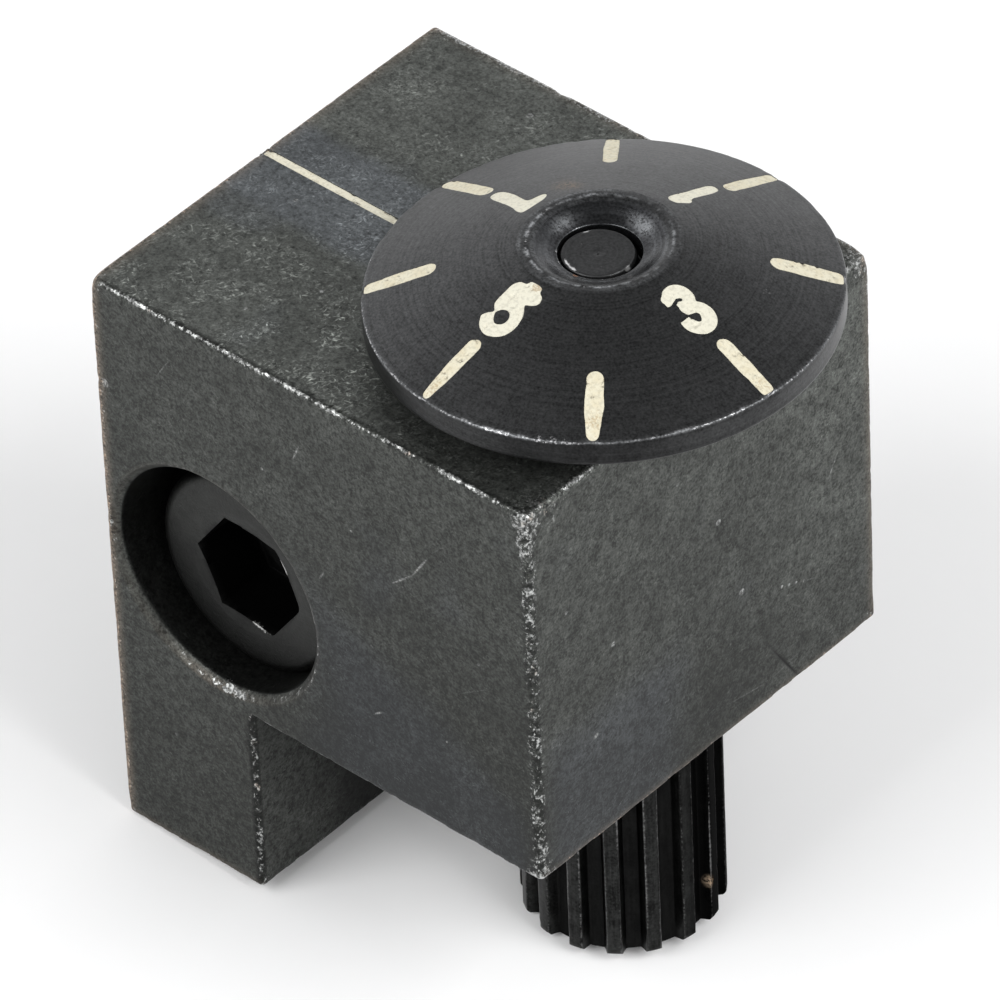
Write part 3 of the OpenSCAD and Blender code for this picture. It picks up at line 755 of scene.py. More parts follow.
def sd_three(q):
    d = np.minimum(np.minimum(sd_circle(q, (0.0, 0.78), 0.79), sd_circle(q, (-0.02, 1.88), 0.68)), sd_circle(q, (-0.46, 2.10), 0.25))
    for a, b, w in (((-0.50, 1.70), (-0.14, 1.85), 0.14), ((-0.14, 1.85), (0.0, 1.79), 0.15)):
        d = np.maximum(d, -sd_taper(q, a, b, w, w))
    d = np.maximum(d, -sd_poly(q, rounded([(-1.4, 1.80), (-0.56, 1.79), (-0.38, 1.76), (-0.30, 1.62), (-0.38, 1.38), (-0.28, 1.10), (-0.20, 1.02),
                                           (-0.46, 1.00), (-0.74, 0.98), (-1.4, 1.05)])))
    return np.maximum(d, -sd_poly(q, rounded([(-0.32, 1.09), (-0.06, 1.02), (0.13, 0.98), (0.18, 0.84), (0.03, 0.57), (-0.14, 0.64), (-0.24, 0.86)])))


NUMERALS = [(45, 6.55, sd_three), (-45, 6.47, lambda q: np.maximum(sd_poly(q, FIVE), -sd_poly(q, rounded([(-0.38, 0.97), (-0.20, 1.20), (0.06, 1.29), (0.34, 1.16), (0.42, 0.92), (0.34, 0.68), (0.06, 0.56), (-0.16, 0.66)])))),
            (-135, 6.42, lambda q: sd_poly(q, SEVEN)), (135, 6.52, lambda q: sd_poly(q, ONE))]


def mark_outlines():
    out = []
    for k, (a, b, *w) in enumerate(MARKS):
        box = (min(a[0], b[0]) - .6, min(a[1], b[1]) - .6, max(a[0], b[0]) + .6, max(a[1], b[1]) + .6)
        out.append(outline(lambda q: np.maximum(sd_taper(q, a, b, *w), sd_circle(q, (0, 0), 9.81)), box, 100 + k)[:1])
    return out


def numeral_outlines():
    """Groups of an outline and its holes, laid on the dial with their tops towards the hub."""
    out = []
    for k, (at, foot, field) in enumerate(NUMERALS):
        rings = outline(field, (-1.4, -0.4, 1.4, 3.4), 120 + k, 0.014)
        rings.sort(key=lambda r: -np.ptp(r[:, 1]))
        t = TURN + math.radians(at)
        c, s = math.cos(t), math.sin(t)
        group = []
        for r in rings[:2]:
            if np.ptp(r[:, 0]) < 0.2:
                continue
            u, v = foot - r[:, 1], r[:, 0]
            group.append(np.stack([c * u - s * v, s * u + c * v], 1))
        out.append(group)
    return out


def cone(r):
    d = DIAL_R - r
    return 0.46 * d - 0.0115 * d * d


def lean(p):
    """From the frame of the leaning cone to the block frame."""
    c, s = math.cos(LEAN), math.sin(LEAN)
    return np.stack([c * p[..., 0] - s * p[..., 2], p[..., 1], s * p[..., 0] + c * p[..., 2]], -1) + CONE_C


def on_cone(uv, drop=0.0):
    return lean(np.concatenate([uv, (cone(np.linalg.norm(uv, axis=-1)) - drop)[..., None]], -1))


POCKET = 0.14
FINE = ((0.0, 0.2, 0.075), (0.2, 9.0, 0.12))


def dial_mesh(groups):
    b = Build()
    outer, inner = circle(0, 0, 9.87, 720), circle(0, 0, 3.35, 360)
    rings = [outer, inner] + [r for g in groups for r in g[:1]]
    p, f = fill(rings, bands=((0.0, 0.3, 0.085), (0.3, 0.7, 0.15), (0.7, 99, 0.26)), seed=31)
    b.add(on_cone(p), f)
    for g in groups:
        p, f = fill(g, bands=FINE, seed=32)
        b.add(on_cone(p, POCKET), f)
        for k, r in enumerate(g):
            b.grid(np.array([on_cone(r), on_cone(r, POCKET)]), closed=True, flip=False)
            if k:
                p, f = fill([r], bands=FINE, seed=33)
                b.add(on_cone(p), f)
    # hub: from the leaning cone to the straight hole
    a = np.arange(360) / 360 * 2 * math.pi
    prof = [(3.35, cone(3.35)), (3.30, 2.532), (3.22, 2.538), (3.12, 2.540), (3.04, 2.538), (2.98, 2.530), (2.92, 2.516), (2.84, 2.492),
            (2.75, 2.455), (2.65, 2.408), (2.55, 2.354), (2.45, 2.296), (2.35, 2.236), (2.25, 2.178), (2.15, 2.122), (2.06, 2.076),
            (1.98, 2.038), (1.91, 2.008), (1.85, 1.986), (1.80, 1.970), (1.775, 1.958), (1.755, 1.935), (1.75, 1.90), (1.75, 1.60),
            (1.75, 1.0), (1.70, 0.98), (1.70, 0.6), (1.70, -0.4), (1.70, -1.25), (1.74, -1.33)]
    g = []
    for r, z in prof:
        w = float(step(3.3, 1.95, r))
        ring = np.stack([r * np.cos(a), r * np.sin(a), np.full(360, z)], 1)
        g.append((1 - w) * lean(ring) + w * (ring + np.array([AX, AY, RIM_Z])))
    hub_low = g[-1]
    b.grid(np.array(g), closed=True)
    # rim and underside
    t = np.arange(720) / 720 * 2 * math.pi
    rim = [(9.87, cone(9.87)), (9.89, 0.008), (9.905, -0.012), (9.915, -0.035), (9.92, -0.07), (9.92, -0.14), (9.92, -0.26), (9.92, -0.42),
           (9.92, -0.6), (9.92, -0.78), (9.92, -0.93), (9.92, -1.02), (9.90, -1.09), (9.85, -1.14), (9.77, -1.17),
           (9.2, -1.17), (8.0, -1.17), (6.4, -1.17), (5.0, -1.17)]
    g = [lean(np.stack([r * np.cos(t), r * np.sin(t), np.full(720, z)], 1)) for r, z in rim]
    for r, z in ((4.5, None), (4.5, 21.10), (4.46, 21.05)):
        q = np.stack([AX + r * np.cos(t), AY + r * np.sin(t)], 1)
        if z is None:
            z = CONE_C[2] - 1.17 / math.cos(LEAN) + (q[:, 0] - CONE_C[0]) * math.tan(LEAN)
        g.append(np.column_stack([q, np.broadcast_to(z, 720)]))
    b.grid(np.array(g), closed=True, flip=True)
    low, hub = g[-1][:, :2], hub_low[:, :2]
    p, f = fill([low, hub], bands=((0.0, 0.4, 0.12), (0.4, 9, 0.4)), seed=34)
    b.add(np.column_stack([p, np.full(len(p), 21.05)]), f, flip=True)
    return b.weld()


def finish_dial(b):
    p, n = b.p, b.normals()
    q = p - CONE_C
    c, s = math.cos(LEAN), math.sin(LEAN)
    q = np.stack([c * q[:, 0] + s * q[:, 2], q[:, 1], -s * q[:, 0] + c * q[:, 2]], 1)
    r = np.hypot(q[:, 0], q[:, 1])
    ang = np.degrees(np.arctan2(q[:, 1], q[:, 0]))
    height = q[:, 2] - cone(np.clip(r, 0, DIAL_R))
    on_top = (height > -0.05) & (r > 3.2)
    arc = lambda a, w: np.exp(-(((ang - a + 180) % 360 - 180) / w) ** 2)
    at_rim = np.exp(-((r - 9.90) / 0.06) ** 2) * np.exp(-(np.clip(-q[:, 2] - 0.02, 0, 9) / 0.05) ** 2)
    # painted highlight along the rim's top edge, weighted by angle here; the bright specks of wear at the rim follow
    # the same angles, so they are partly painted highlight too
    side = 0.24 + 0.34 * np.clip(0.85 * arc(-72, 16) + 0.80 * arc(-118, 26) + 0.55 * arc(-20, 22) + 0.6 * arc(12, 16) + 0.3 * arc(170, 30), 0, 1)
    rim_highlight = at_rim * np.clip(side * 1.2, 0, 1) * (0.4 + 0.6 * noise(p, 0.7, 63))
    wear_and_highlight = at_rim * side * (0.40 + 0.85 * noise(p, 0.9, 51))
    # the wide rubbed patch beside the front mark
    patch = np.exp(-((ang + 62.0) / 5.0) ** 4) * np.exp(-(np.clip(9.80 - r, 0, 9) / 0.13) ** 2) * (height > -0.09) * (r > 5)
    wear_and_highlight = np.maximum(wear_and_highlight, 0.42 * patch)
    # where the marks meet the rim
    for a, w in ((-96.3, 1.8), (-141.4, 1.6), (-6.0, 1.8), (173.6, 1.2), (40.5, 1.4), (84.6, 1.4)):
        wear_and_highlight = np.maximum(wear_and_highlight, 0.62 * arc(a, w) * np.exp(-((r - 9.88) / 0.10) ** 2) * (q[:, 2] > -0.1))
    for (x, y), rad, k in (((6.5, 2.83), 0.13, 1.0), ((6.42, 2.60), 0.08, 0.9), ((1.25, -3.58), 0.06, 0.6), ((1.10, -3.52), 0.05, 0.5),
                           ((2.90, 5.2), 0.06, 0.7), ((4.2, 1.2), 0.05, 0.5), ((-3.2, -6.6), 0.05, 0.5), ((7.9, -4.2), 0.06, 0.6)):
        wear_and_highlight = np.maximum(wear_and_highlight, k * np.exp(-(np.hypot(q[:, 0] - x, q[:, 1] - y) / rad) ** 2) * on_top)
    # hub: bright worn ring on its crest
    h = np.hypot(p[:, 0] - AX, p[:, 1] - AY)
    crest = (np.exp(-((h - 3.02) / 0.10) ** 2) * (0.45 + 0.8 * noise(p, 0.55, 52)) + 0.55 * np.exp(-((h - 3.32) / 0.05) ** 2) * noise(p, 0.4, 53))
    ring = (h < 3.5) & (p[:, 2] > RIM_Z + 2.2)
    hub = np.where(ring, crest * (0.6 + 0.4 * np.cos(np.radians(ang - 220))), 0)
    lip = np.where(p[:, 2] > RIM_Z + 1.7, np.exp(-((h - 1.79) / 0.05) ** 2), 0) * step(0.55, 0.8, noise(p, 0.4, 54))
    wear_and_highlight = np.maximum(wear_and_highlight, np.maximum(hub * 0.40, lip * 0.5))
    polish_and_highlight = ring * (1 + 0.85 * arc(-165, 60)) * (np.exp(-((h - 3.03) / 0.07) ** 2) * (0.02 + 0.85 * step(0.25, 0.85, noise(p, 0.3, 58))) + np.exp(-((h - 2.78) / 0.06) ** 2) * 0.30 * noise(p, 0.5, 60) +
                     0.30 * np.exp(-((h - 3.30) / 0.06) ** 2) * noise(p, 0.5, 61))
    # the rim's painted highlight joins the same light colour here
    polish_and_highlight = np.maximum(polish_and_highlight, 0.62 * rim_highlight)
    # painted highlights: two bright patches of reflection on the hub's dish, and a lighter arc at the front
    grainy = 0.35 + 0.9 * noise(np.column_stack([ang * 0.16, h * 3, h * 0]), 1.0, 59)
    polish_and_highlight = polish_and_highlight + (p[:, 2] > RIM_Z + 1.9) * np.exp(-((h - 2.18) / 0.30) ** 2) * (1.20 * arc(175, 15) + 1.85 * arc(79, 15)) * grainy
    polish_and_highlight = polish_and_highlight + (p[:, 2] > RIM_Z + 1.9) * np.exp(-((h - 2.12) / 0.14) ** 2) * 0.85 * arc(-52, 50) * grainy
    dish = step(2.95, 2.6, h) * (p[:, 2] > RIM_Z + 1.5)
    stain = np.exp(-(np.hypot(q[:, 0] + 3.83, q[:, 1] - 2.17) / 0.42) ** 2) + 0.7 * np.exp(-(np.hypot(q[:, 0] + 3.3, q[:, 1] - 2.3) / 0.25) ** 2)
    stain = np.where(on_top, stain, 0)
    rust = np.exp(-(np.linalg.norm(p - np.array([AX + 0.25, AY - 1.8, RIM_Z + 1.98]), axis=1) / 0.14) ** 2)
    # small chips of the rim
    nick = step(0.60, 0.85, noise(p, 0.42, 55)) * 0.045 + step(0.72, 0.9, noise(p, 1.3, 56)) * 0.05
    push = nick * at_rim * (0.35 + 0.65 * side)
    for a in (-96.3, -141.4, -6.0, 173.6, 40.5, 84.6, -52.0, 129.3):
        push = np.maximum(push, 0.07 * arc(a, 1.3) * np.exp(-((r - 9.9) / 0.09) ** 2) * (q[:, 2] > -0.25))
    push = np.maximum(push, 0.025 * crest * ring * step(0.5, 0.8, noise(p, 0.35, 57)))
    for (x, y), rad, dep in (((6.5, 2.83), 0.12, 0.02), ((1.25, -3.58), 0.12, 0.02)):
        push = np.maximum(push, dep * np.exp(-(np.hypot(q[:, 0] - x, q[:, 1] - y) / rad) ** 2) * on_top)
    b.p = p - n * push[:, None]
    b.p[:, 2] = np.minimum(b.p[:, 2], 25.014)          # crest and rim stay inside the part's box
    b.p[:, 0] = np.minimum(b.p[:, 0], 28.867)
    rel = p - CONE_C
    # painted light and shade: the rim's side darker over its front half, the cone lighter near -118 degrees, the dish
    # darker near 0 degrees
    return {"wear_and_highlight": np.clip(wear_and_highlight, 0, 1.3), "dish": dish, "stain": stain, "rust": rust, "polish_and_highlight": polish_and_highlight, "radius": r, "loc": rel, "side": (height < -0.05).astype(float),
            "painted_light_and_shade": np.where(height < -0.05, 1 - 0.42 * step(-152, -112, ang) * step(20, -18, ang) - 0.16 * arc(-108, 24) - 0.28 * np.exp(-((ang + 55) / 24) ** 4), 1 + 0.30 * arc(-118, 28) * (r > 3.5) - 0.25 * arc(0, 30) * (h < 2.9))}


def enamel_mesh(groups, seed, low=0.006):
    """One closed body of enamel for each outline, its face a little sunk and uneven."""
    b = Build()
    for k, g in enumerate(groups):
        shrunk = []
        for ring in g:
            t = np.roll(ring, -1, axis=0) - np.roll(ring, 1, axis=0)
            t /= np.linalg.norm(t, axis=1, keepdims=True)
            shrunk.append(ring - 0.002 * np.stack([t[:, 1], -t[:, 0]], 1))
        p, f = fill(shrunk, bands=((0.0, 0.2, 0.06), (0.2, 9.0, 0.07)), seed=seed + k)
        q3 = np.column_stack([p, np.zeros(len(p))])
        pits_and_socket_shade = step(0.86, 0.97, noise(q3, 0.15, seed + 5)) * 0.05 + step(0.88, 0.98, noise(q3, 0.26, seed + 6)) * 0.05
        sunk = low + 0.014 * noise(q3, 0.45, seed + 4) + pits_and_socket_shade
        top, bot = on_cone(p, sunk), on_cone(p, POCKET - 0.004)
        b.add(top, f)
        b.add(bot, f, flip=True)
        # walls along the open edges of the face
        e = np.vstack([f[:, [0, 1]], f[:, [1, 2]], f[:, [2, 0]]])
        codes = e[:, 0] * len(p) + e[:, 1]
        rim = e[~np.isin(codes, e[:, 1] * len(p) + e[:, 0])]
        m = len(p)
        b.add(np.vstack([top, bot]), np.vstack([np.stack([rim[:, 1], rim[:, 0], rim[:, 0] + m], 1), np.stack([rim[:, 1], rim[:, 0] + m, rim[:, 1] + m], 1)]))
    b.weld()
    q = b.p - CONE_C
    flat = np.column_stack([q[:, 0], q[:, 1], np.zeros(len(q))])
    pits_and_socket_shade = step(0.86, 0.97, noise(flat, 0.15, seed + 5)) + step(0.88, 0.98, noise(flat, 0.26, seed + 6))
    return b, q, np.clip(pits_and_socket_shade, 0, 1)


def strip_mesh():
    b = Build()
    xs = np.concatenate([[0.12, 0.2], np.arange(0.3, 10.4, 0.1), [10.45, 10.485]])
    us = np.array([-0.197, -0.17, -0.1, -0.03, 0.03, 0.1, 0.17, 0.197])
    gx, gu = np.meshgrid(xs, us, indexing="ij")
    flat = np.stack([gx, gu * 2, np.zeros_like(gx)], -1)
    z = H - 0.022 - 0.03 * fbm(flat, 0.6, 61) - 0.06 * step(0.72, 0.9, noise(flat, 0.3, 62)) - 0.10 * step(0.6, 0.12, gx)
    top = np.stack([gx, AY + gu, z], -1)
    bot = np.stack([gx, AY + gu, np.full_like(gx, H - 0.146)], -1)
    b.grid(top, flip=True)
    b.grid(bot)
    for edge_t, edge_b, flip in ((top[0], bot[0], False), (top[-1], bot[-1], True), (top[:, 0], bot[:, 0], True), (top[:, -1], bot[:, -1], False)):
        b.grid(np.array([edge_t, edge_b]), flip=flip)
    b.weld()
    return b


# ---------------------------------------------------------------- screw
SCREW_X, SCREW_Z, HEAD_Y = HOLE_X + 0.34, HOLE_Z - 0.28, 1.6


def screw_mesh():
    """Loops about the screw's axis; y runs from the head's top to the tip."""
    b = Build()
    n = 360
    deg = -5.4 + np.arange(n)
    a = np.radians(deg)
    hexr = 2.5 / np.cos(np.radians((deg + 5.4) % 60 - 30))
    rows = []

    def row(r, y, off=0.0):
        # the loose head hangs a little lower than the shank
        r, y = np.broadcast_to(r, n), np.broadcast_to(y, n)
        sag = 1 - step(5.6, 10.0, y)
        rows.append(np.stack([SCREW_X + off + 0.06 * sag + r * np.cos(a), HEAD_Y + y, SCREW_Z - 0.10 * sag + r * np.sin(a)], 1))

    row(0.08, 3.86, 0.12)
    row(0.22, 3.84, 0.12)
    row(1.2, 3.42, 0.12)
    row(2.32, 3.02, 0.12)
    row(2.40, 3.0, 0.12)
    row(hexr - 0.03, 3.0, 0.12)
    row(hexr, 2.96, 0.12)
    for y in (2.6, 2.1, 1.6, 1.1, 0.7, 0.5):
        row(hexr, y, 0.12)
    mouth = (2.93 - hexr) * 0.16
    row(hexr, mouth + 0.02, 0.12)
    row(hexr + 0.015, mouth - 0.005, 0.12)
    row(hexr * 0.5 + 2.93 * 0.5, mouth * 0.5, 0.06)
    row(2.93, 0.012)
    row(2.97, 0.0)
    for r in (3.2, 3.5, 3.8, 4.1, 4.3):
        row(r, 0.0)
    e = 0.55
    for k in range(9):
        t = math.pi / 2 * k / 8
        row(4.94 - e + e * math.sin(t), e - e * math.cos(t))
    knurl = 0.10 * np.abs(((np.arange(n) % 5) - 2.5) / 2.5) ** 0.8
    for y, w in ((0.62, 0.0), (0.72, 0.6), (0.85, 1.0), (1.6, 1.0), (2.6, 1.0), (3.6, 1.0), (4.6, 1.0), (5.3, 1.0), (5.5, 0.6), (5.6, 0.0)):
        row(4.94 - knurl * w, y)
    for r, y in ((4.94, 5.82), (4.92, 5.94), (4.83, 6.0), (4.2, 6.0), (3.5, 6.0), (3.07, 6.0), (3.0, 6.06), (3.0, 7), (3.0, 9), (3.0, 11),
                 (3.0, 13), (3.0, 15), (3.0, 17), (3.0, 18.5), (3.0, 19.02), (2.9, 19.12), (2.5, 19.3), (2.5, 19.5), (2.5, 19.76)):
        row(r, y)
    # thread of 1 mm pitch, running out at both ends
    for y in np.arange(19.84, 25.95, 1 / 13):
        f = (y - deg / 360.0) % 1.0
        depth = np.interp(f, [0, 0.0625, 0.375, 0.625, 0.9375, 1.0], [0, 0, 0.575, 0.575, 0, 0])
        start = float(step(19.84, 20.5, y))
        tip = 2.98 - np.clip(y - 25.4, 0, 1) * 1.0
        row(np.minimum((2.98 - depth * start) - 0.1 * (1 - float(step(19.84, 19.95, y))), tip), y)
    row(2.36, 25.99)
    row(2.28, 26.0)
    for r in (1.5, 0.6, 0.1):
        row(r, 26.0)
    g = np.array(rows)
    b.grid(g, closed=True, flip=True)
    b.fan(g[0], g[0].mean(0) + np.array([0, 0.02, 0]))
    b.fan(g[-1], g[-1].mean(0), flip=True)
    return b.weld()


def finish_screw(b):
    p, n = b.p, b.normals()
    r, y = np.hypot(p[:, 0] - SCREW_X, p[:, 2] - SCREW_Z), p[:, 1] - HEAD_Y
    ang = np.degrees(np.arctan2(p[:, 2] - SCREW_Z, p[:, 0] - SCREW_X)) % 360
    across = np.where(r < 2.95, 0.12, 0.0)
    r, ang = np.where(r < 3.1, np.hypot(p[:, 0] - SCREW_X - 0.06 - across, p[:, 2] - SCREW_Z + 0.10), r), ang
    sector = np.abs((ang + 5.4) % 60 - 30)
    hexr = 2.5 / np.cos(np.radians(sector))
    rim = np.exp(-((r - hexr - 0.02) / 0.07) ** 2) * (y < 0.3)
    # painted glints on two facets of the socket's edge join the wear here
    glint = np.exp(-(((ang - 284 + 180) % 360 - 180) / 8) ** 2) + 1.7 * np.exp(-(((ang - 36 + 180) % 360 - 180) / 7) ** 2)
    # painted shade: the head's outer edge and side wall, and its lower part
    head_shade = np.clip(step(4.55, 4.75, r) + step(0.9, -2.6, (p[:, 0] - SCREW_X) * 0.35 + (p[:, 2] - SCREW_Z)) * 0.75, 0, 1) * (y < 7)
    wear_and_highlight = rim * (0.10 + 1.3 * glint) * (0.4 + noise(p, 0.4, 81)) * 0.9
    wear_and_highlight = np.maximum(wear_and_highlight, 0.25 * np.exp(-((r - 4.75) / 0.2) ** 2) * (y < 0.5) * noise(p, 0.5, 82))
    wear_and_highlight = np.maximum(wear_and_highlight, 0.35 * (y > 20) * (r > 2.85) * noise(p, 0.7, 83))
    push = 0.02 * step(0.62, 0.85, noise(p, 0.35, 84)) * rim + 0.006 * fbm(p, 1.2, 85)
    b.p = p - n * push[:, None]
    # inside the hex socket: painted shade
    return {"wear_and_highlight": wear_and_highlight, "loc": p, "head_shade": head_shade, "pits_and_socket_shade": ((y > 0.05) & (r < 2.95) & (y < 4)).astype(float)}


# ---------------------------------------------------------------- spindle and pinion
TIP_R, ROOT_R = 4.42, 3.94


def tooth_ring():
    """Outline of the pinion: round-cornered lands and nearly straight flanks. Also how far each point is up its tooth."""
    half = 11.25
    pts, up = [], []
    for k in range(16):
        mid = -54.1 + 22.5 * k
        one = []
        land = 4.45
        for t in np.linspace(-1, 1, 7):
            one.append((TIP_R, mid + t * (land - 1.0), 1.0))
        corner = [(TIP_R - 0.012, mid + land - 0.45, 1.0), (TIP_R - 0.05, mid + land - 0.08, 0.95), (TIP_R - 0.11, mid + land + 0.12, 0.85)]
        flank = [(TIP_R - 0.22, mid + land + 0.62, 0.6), (TIP_R - 0.33, mid + land + 1.2, 0.35), (ROOT_R + 0.06, mid + land + 1.85, 0.1)]
        root = [(ROOT_R + 0.012, mid + land + 2.25, 0.0)] + [(ROOT_R, mid + land + 2.6 + t * (2 * half - 2 * land - 5.2), 0.0) for t in np.linspace(0, 1, 5)] + \
            [(ROOT_R + 0.012, mid + 2 * half - land - 2.25, 0.0)]
        mirror = [(r, 2 * (mid + half) - a, u) for r, a, u in (corner + flank)[::-1]]
        for r, a, u in one + corner + flank + root + mirror:
            pts.append((r * math.cos(math.radians(a)), r * math.sin(math.radians(a))))
            up.append(u)
    return np.array(pts), np.array(up)


def pinion_mesh():
    b = Build()
    ring, _ = tooth_ring()
    low, top = -10.80, -0.15
    r = np.linalg.norm(ring, axis=1)
    hat = ring / r[:, None]

    def at(ch, z):
        q = hat * np.minimum(r, TIP_R - ch)[:, None]
        return np.column_stack([q + np.array([AX, AY]), np.full(len(q), z)])

    zs = np.concatenate([[low + 0.12, low + 0.3], np.linspace(low + 0.6, top - 0.6, 30), [top - 0.3, top - 0.12]])
    rows = [at(0.12, low), at(0.06, low + 0.05)] + [at(0.0, z) for z in zs] + [at(0.06, top - 0.05), at(0.12, top)]
    b.grid(np.array(rows), closed=True)
    face = rows[0][:, :2]
    ci = circle(AX, AY, 0.9, 96)
    p, f = fill([face, ci], bands=((0.0, 0.3, 0.1), (0.3, 9, 0.3)), seed=41)
    b.add(np.column_stack([p, np.full(len(p), low)]), f, flip=True)
    g = np.array([np.column_stack([circle(AX, AY, rr, 96), np.full(96, z)]) for rr, z in ((0.9, low), (0.86, low + 0.04), (0.5, low + 0.55), (0.08, low + 1.16))])
    b.grid(g, closed=True, flip=True)
    b.fan(g[-1], (AX, AY, low + 1.2), flip=True)
    cj = circle(AX, AY, 3.0, 240)
    p, f = fill([rows[-1][:, :2], cj], bands=((0.0, 0.3, 0.12), (0.3, 9, 0.3)), seed=42)
    b.add(np.column_stack([p, np.full(len(p), top)]), f)
    prof = [(3.0, top), (3.0, 0.4), (3.0, 3), (3.0, 8), (3.0, 13), (3.0, 18), (3.0, 20.9), (2.97, 21.02), (2.94, 21.05), (1.74, 21.05), (1.70, 21.09),
            (1.70, 22.4), (1.70, 23.2), (1.60, 23.36), (1.55, 23.42), (1.55, 23.7), (1.55, 24.0), (1.548, 24.12), (1.54, 24.19), (1.525, 24.24), (1.50, 24.27), (1.465, 24.285),
            (1.42, 24.29), (1.3, 24.287), (1.1, 24.283), (0.9, 24.281), (0.7, 24.279), (0.5, 24.278), (0.32, 24.277), (0.17, 24.274), (0.1, 24.245), (0.04, 24.2)]
    g = []
    for rr, z in prof:
        shift = np.array([-0.07, -0.06]) * float(step(23.9, 24.25, z))
        g.append(np.column_stack([circle(AX, AY, rr, 240) + shift, np.full(240, z)]))
    g = np.array(g)
    b.grid(g, closed=True)
    b.fan(g[-1], g[-1].mean(0) + np.array([0, 0, -0.02]))
    return b.weld()


def finish_pinion(b):
    p, n = b.p, b.normals()
    q = p - np.array([AX, AY, 0])
    r, ang, z = np.hypot(q[:, 0], q[:, 1]), np.degrees(np.arctan2(q[:, 1], q[:, 0])), p[:, 2]
    gear = z < -0.1
    land = np.exp(-((r - TIP_R) / 0.05) ** 2) * gear
    off = (ang + 54.1 + 11.25) % 22.5 - 11.25
    # worn edges of the lands, with painted highlights along them
    brink = land * np.exp(-((np.abs(off) - 3.9) / 0.8) ** 2)
    streak = noise(np.column_stack([ang * 0.35, z * 0.22, 0 * z]), 1.0, 91)
    wear_and_highlight = brink * (0.22 + 0.55 * streak) + 0.12 * land * step(0.6, 0.8, streak)
    wear_and_highlight = np.maximum(wear_and_highlight, 0.5 * np.exp(-((z + 10.74) / 0.08) ** 2) * (r > 4.2) * noise(p, 0.4, 92))
    spot = lambda x, y, zz, rad: np.exp(-(np.linalg.norm(p - np.array([x, y, zz]), axis=1) / rad) ** 2)
    # end of the spindle in the hub: bright nicks on its edge
    disc = z > 24.1
    a = (ang + 360) % 360
    arc = lambda c, w: np.exp(-(((a - c + 180) % 360 - 180) / w) ** 2)
    nick = 0.8 * arc(262, 9) + 0.9 * arc(1, 6) + 0.8 * arc(153, 7) + 0.8 * arc(243, 12)
    # painted shade: the gaps between the teeth, and the spindle's neck inside the dial's hole
    shade = np.maximum(np.where(gear, step(TIP_R - 0.1, ROOT_R, r), 0), (z > 22.5) & (z < 24.15))
    wear_and_highlight = np.maximum(wear_and_highlight, np.where(disc, 1.3 * nick * np.exp(-((r - 1.49) / 0.065) ** 2), 0))
    wear_and_highlight = np.maximum(wear_and_highlight, np.where(disc, 0.3 * step(0.74, 0.9, noise(p, 0.14, 93)) * (r < 1.4), 0))
    rust = np.maximum(1.0 * spot(23.23, 11.22, -8.57, 0.42), 0.5 * spot(20.67, 6.66, -7.53, 0.35))
    push = 0.03 * step(0.6, 0.85, noise(p, 0.5, 94)) * brink + 0.004 * fbm(p, 1.5, 95)
    push = np.maximum(push, np.where(disc, 0.035 * nick * np.exp(-((r - 1.49) / 0.09) ** 2), 0))
    b.p = p - n * push[:, None]
    # the pinion's far side, from about -28 to 140 degrees, carries painted shade
    return {"wear_and_highlight": np.clip(wear_and_highlight, 0, 1.2), "rust": rust, "disc": disc.astype(float), "root": shade,
            "radius": r, "far_side_shade": np.where(gear, step(-28, 12, np.where(ang > 150, ang - 360, ang)) * step(140, 90, ang), 0), "loc": q}


def washer_mesh():
    b = Build()
    prof = [(3.12, 20.1), (3.2, 20.0), (3.8, 20.0), (4.3, 20.0), (4.67, 20.0), (4.72, 20.02), (4.75, 20.08), (4.75, 20.3), (4.75, 20.6), (4.75, 20.92),
            (4.72, 20.98), (4.67, 21.0), (4.3, 21.0), (3.8, 21.0), (3.18, 21.0), (3.12, 20.95), (3.12, 20.5)]
    g = np.array([np.column_stack([circle(AX, AY, r, 240), np.full(240, z)]) for r, z in prof + prof[:1]])
    b.grid(g, closed=True)
    return b.weld()


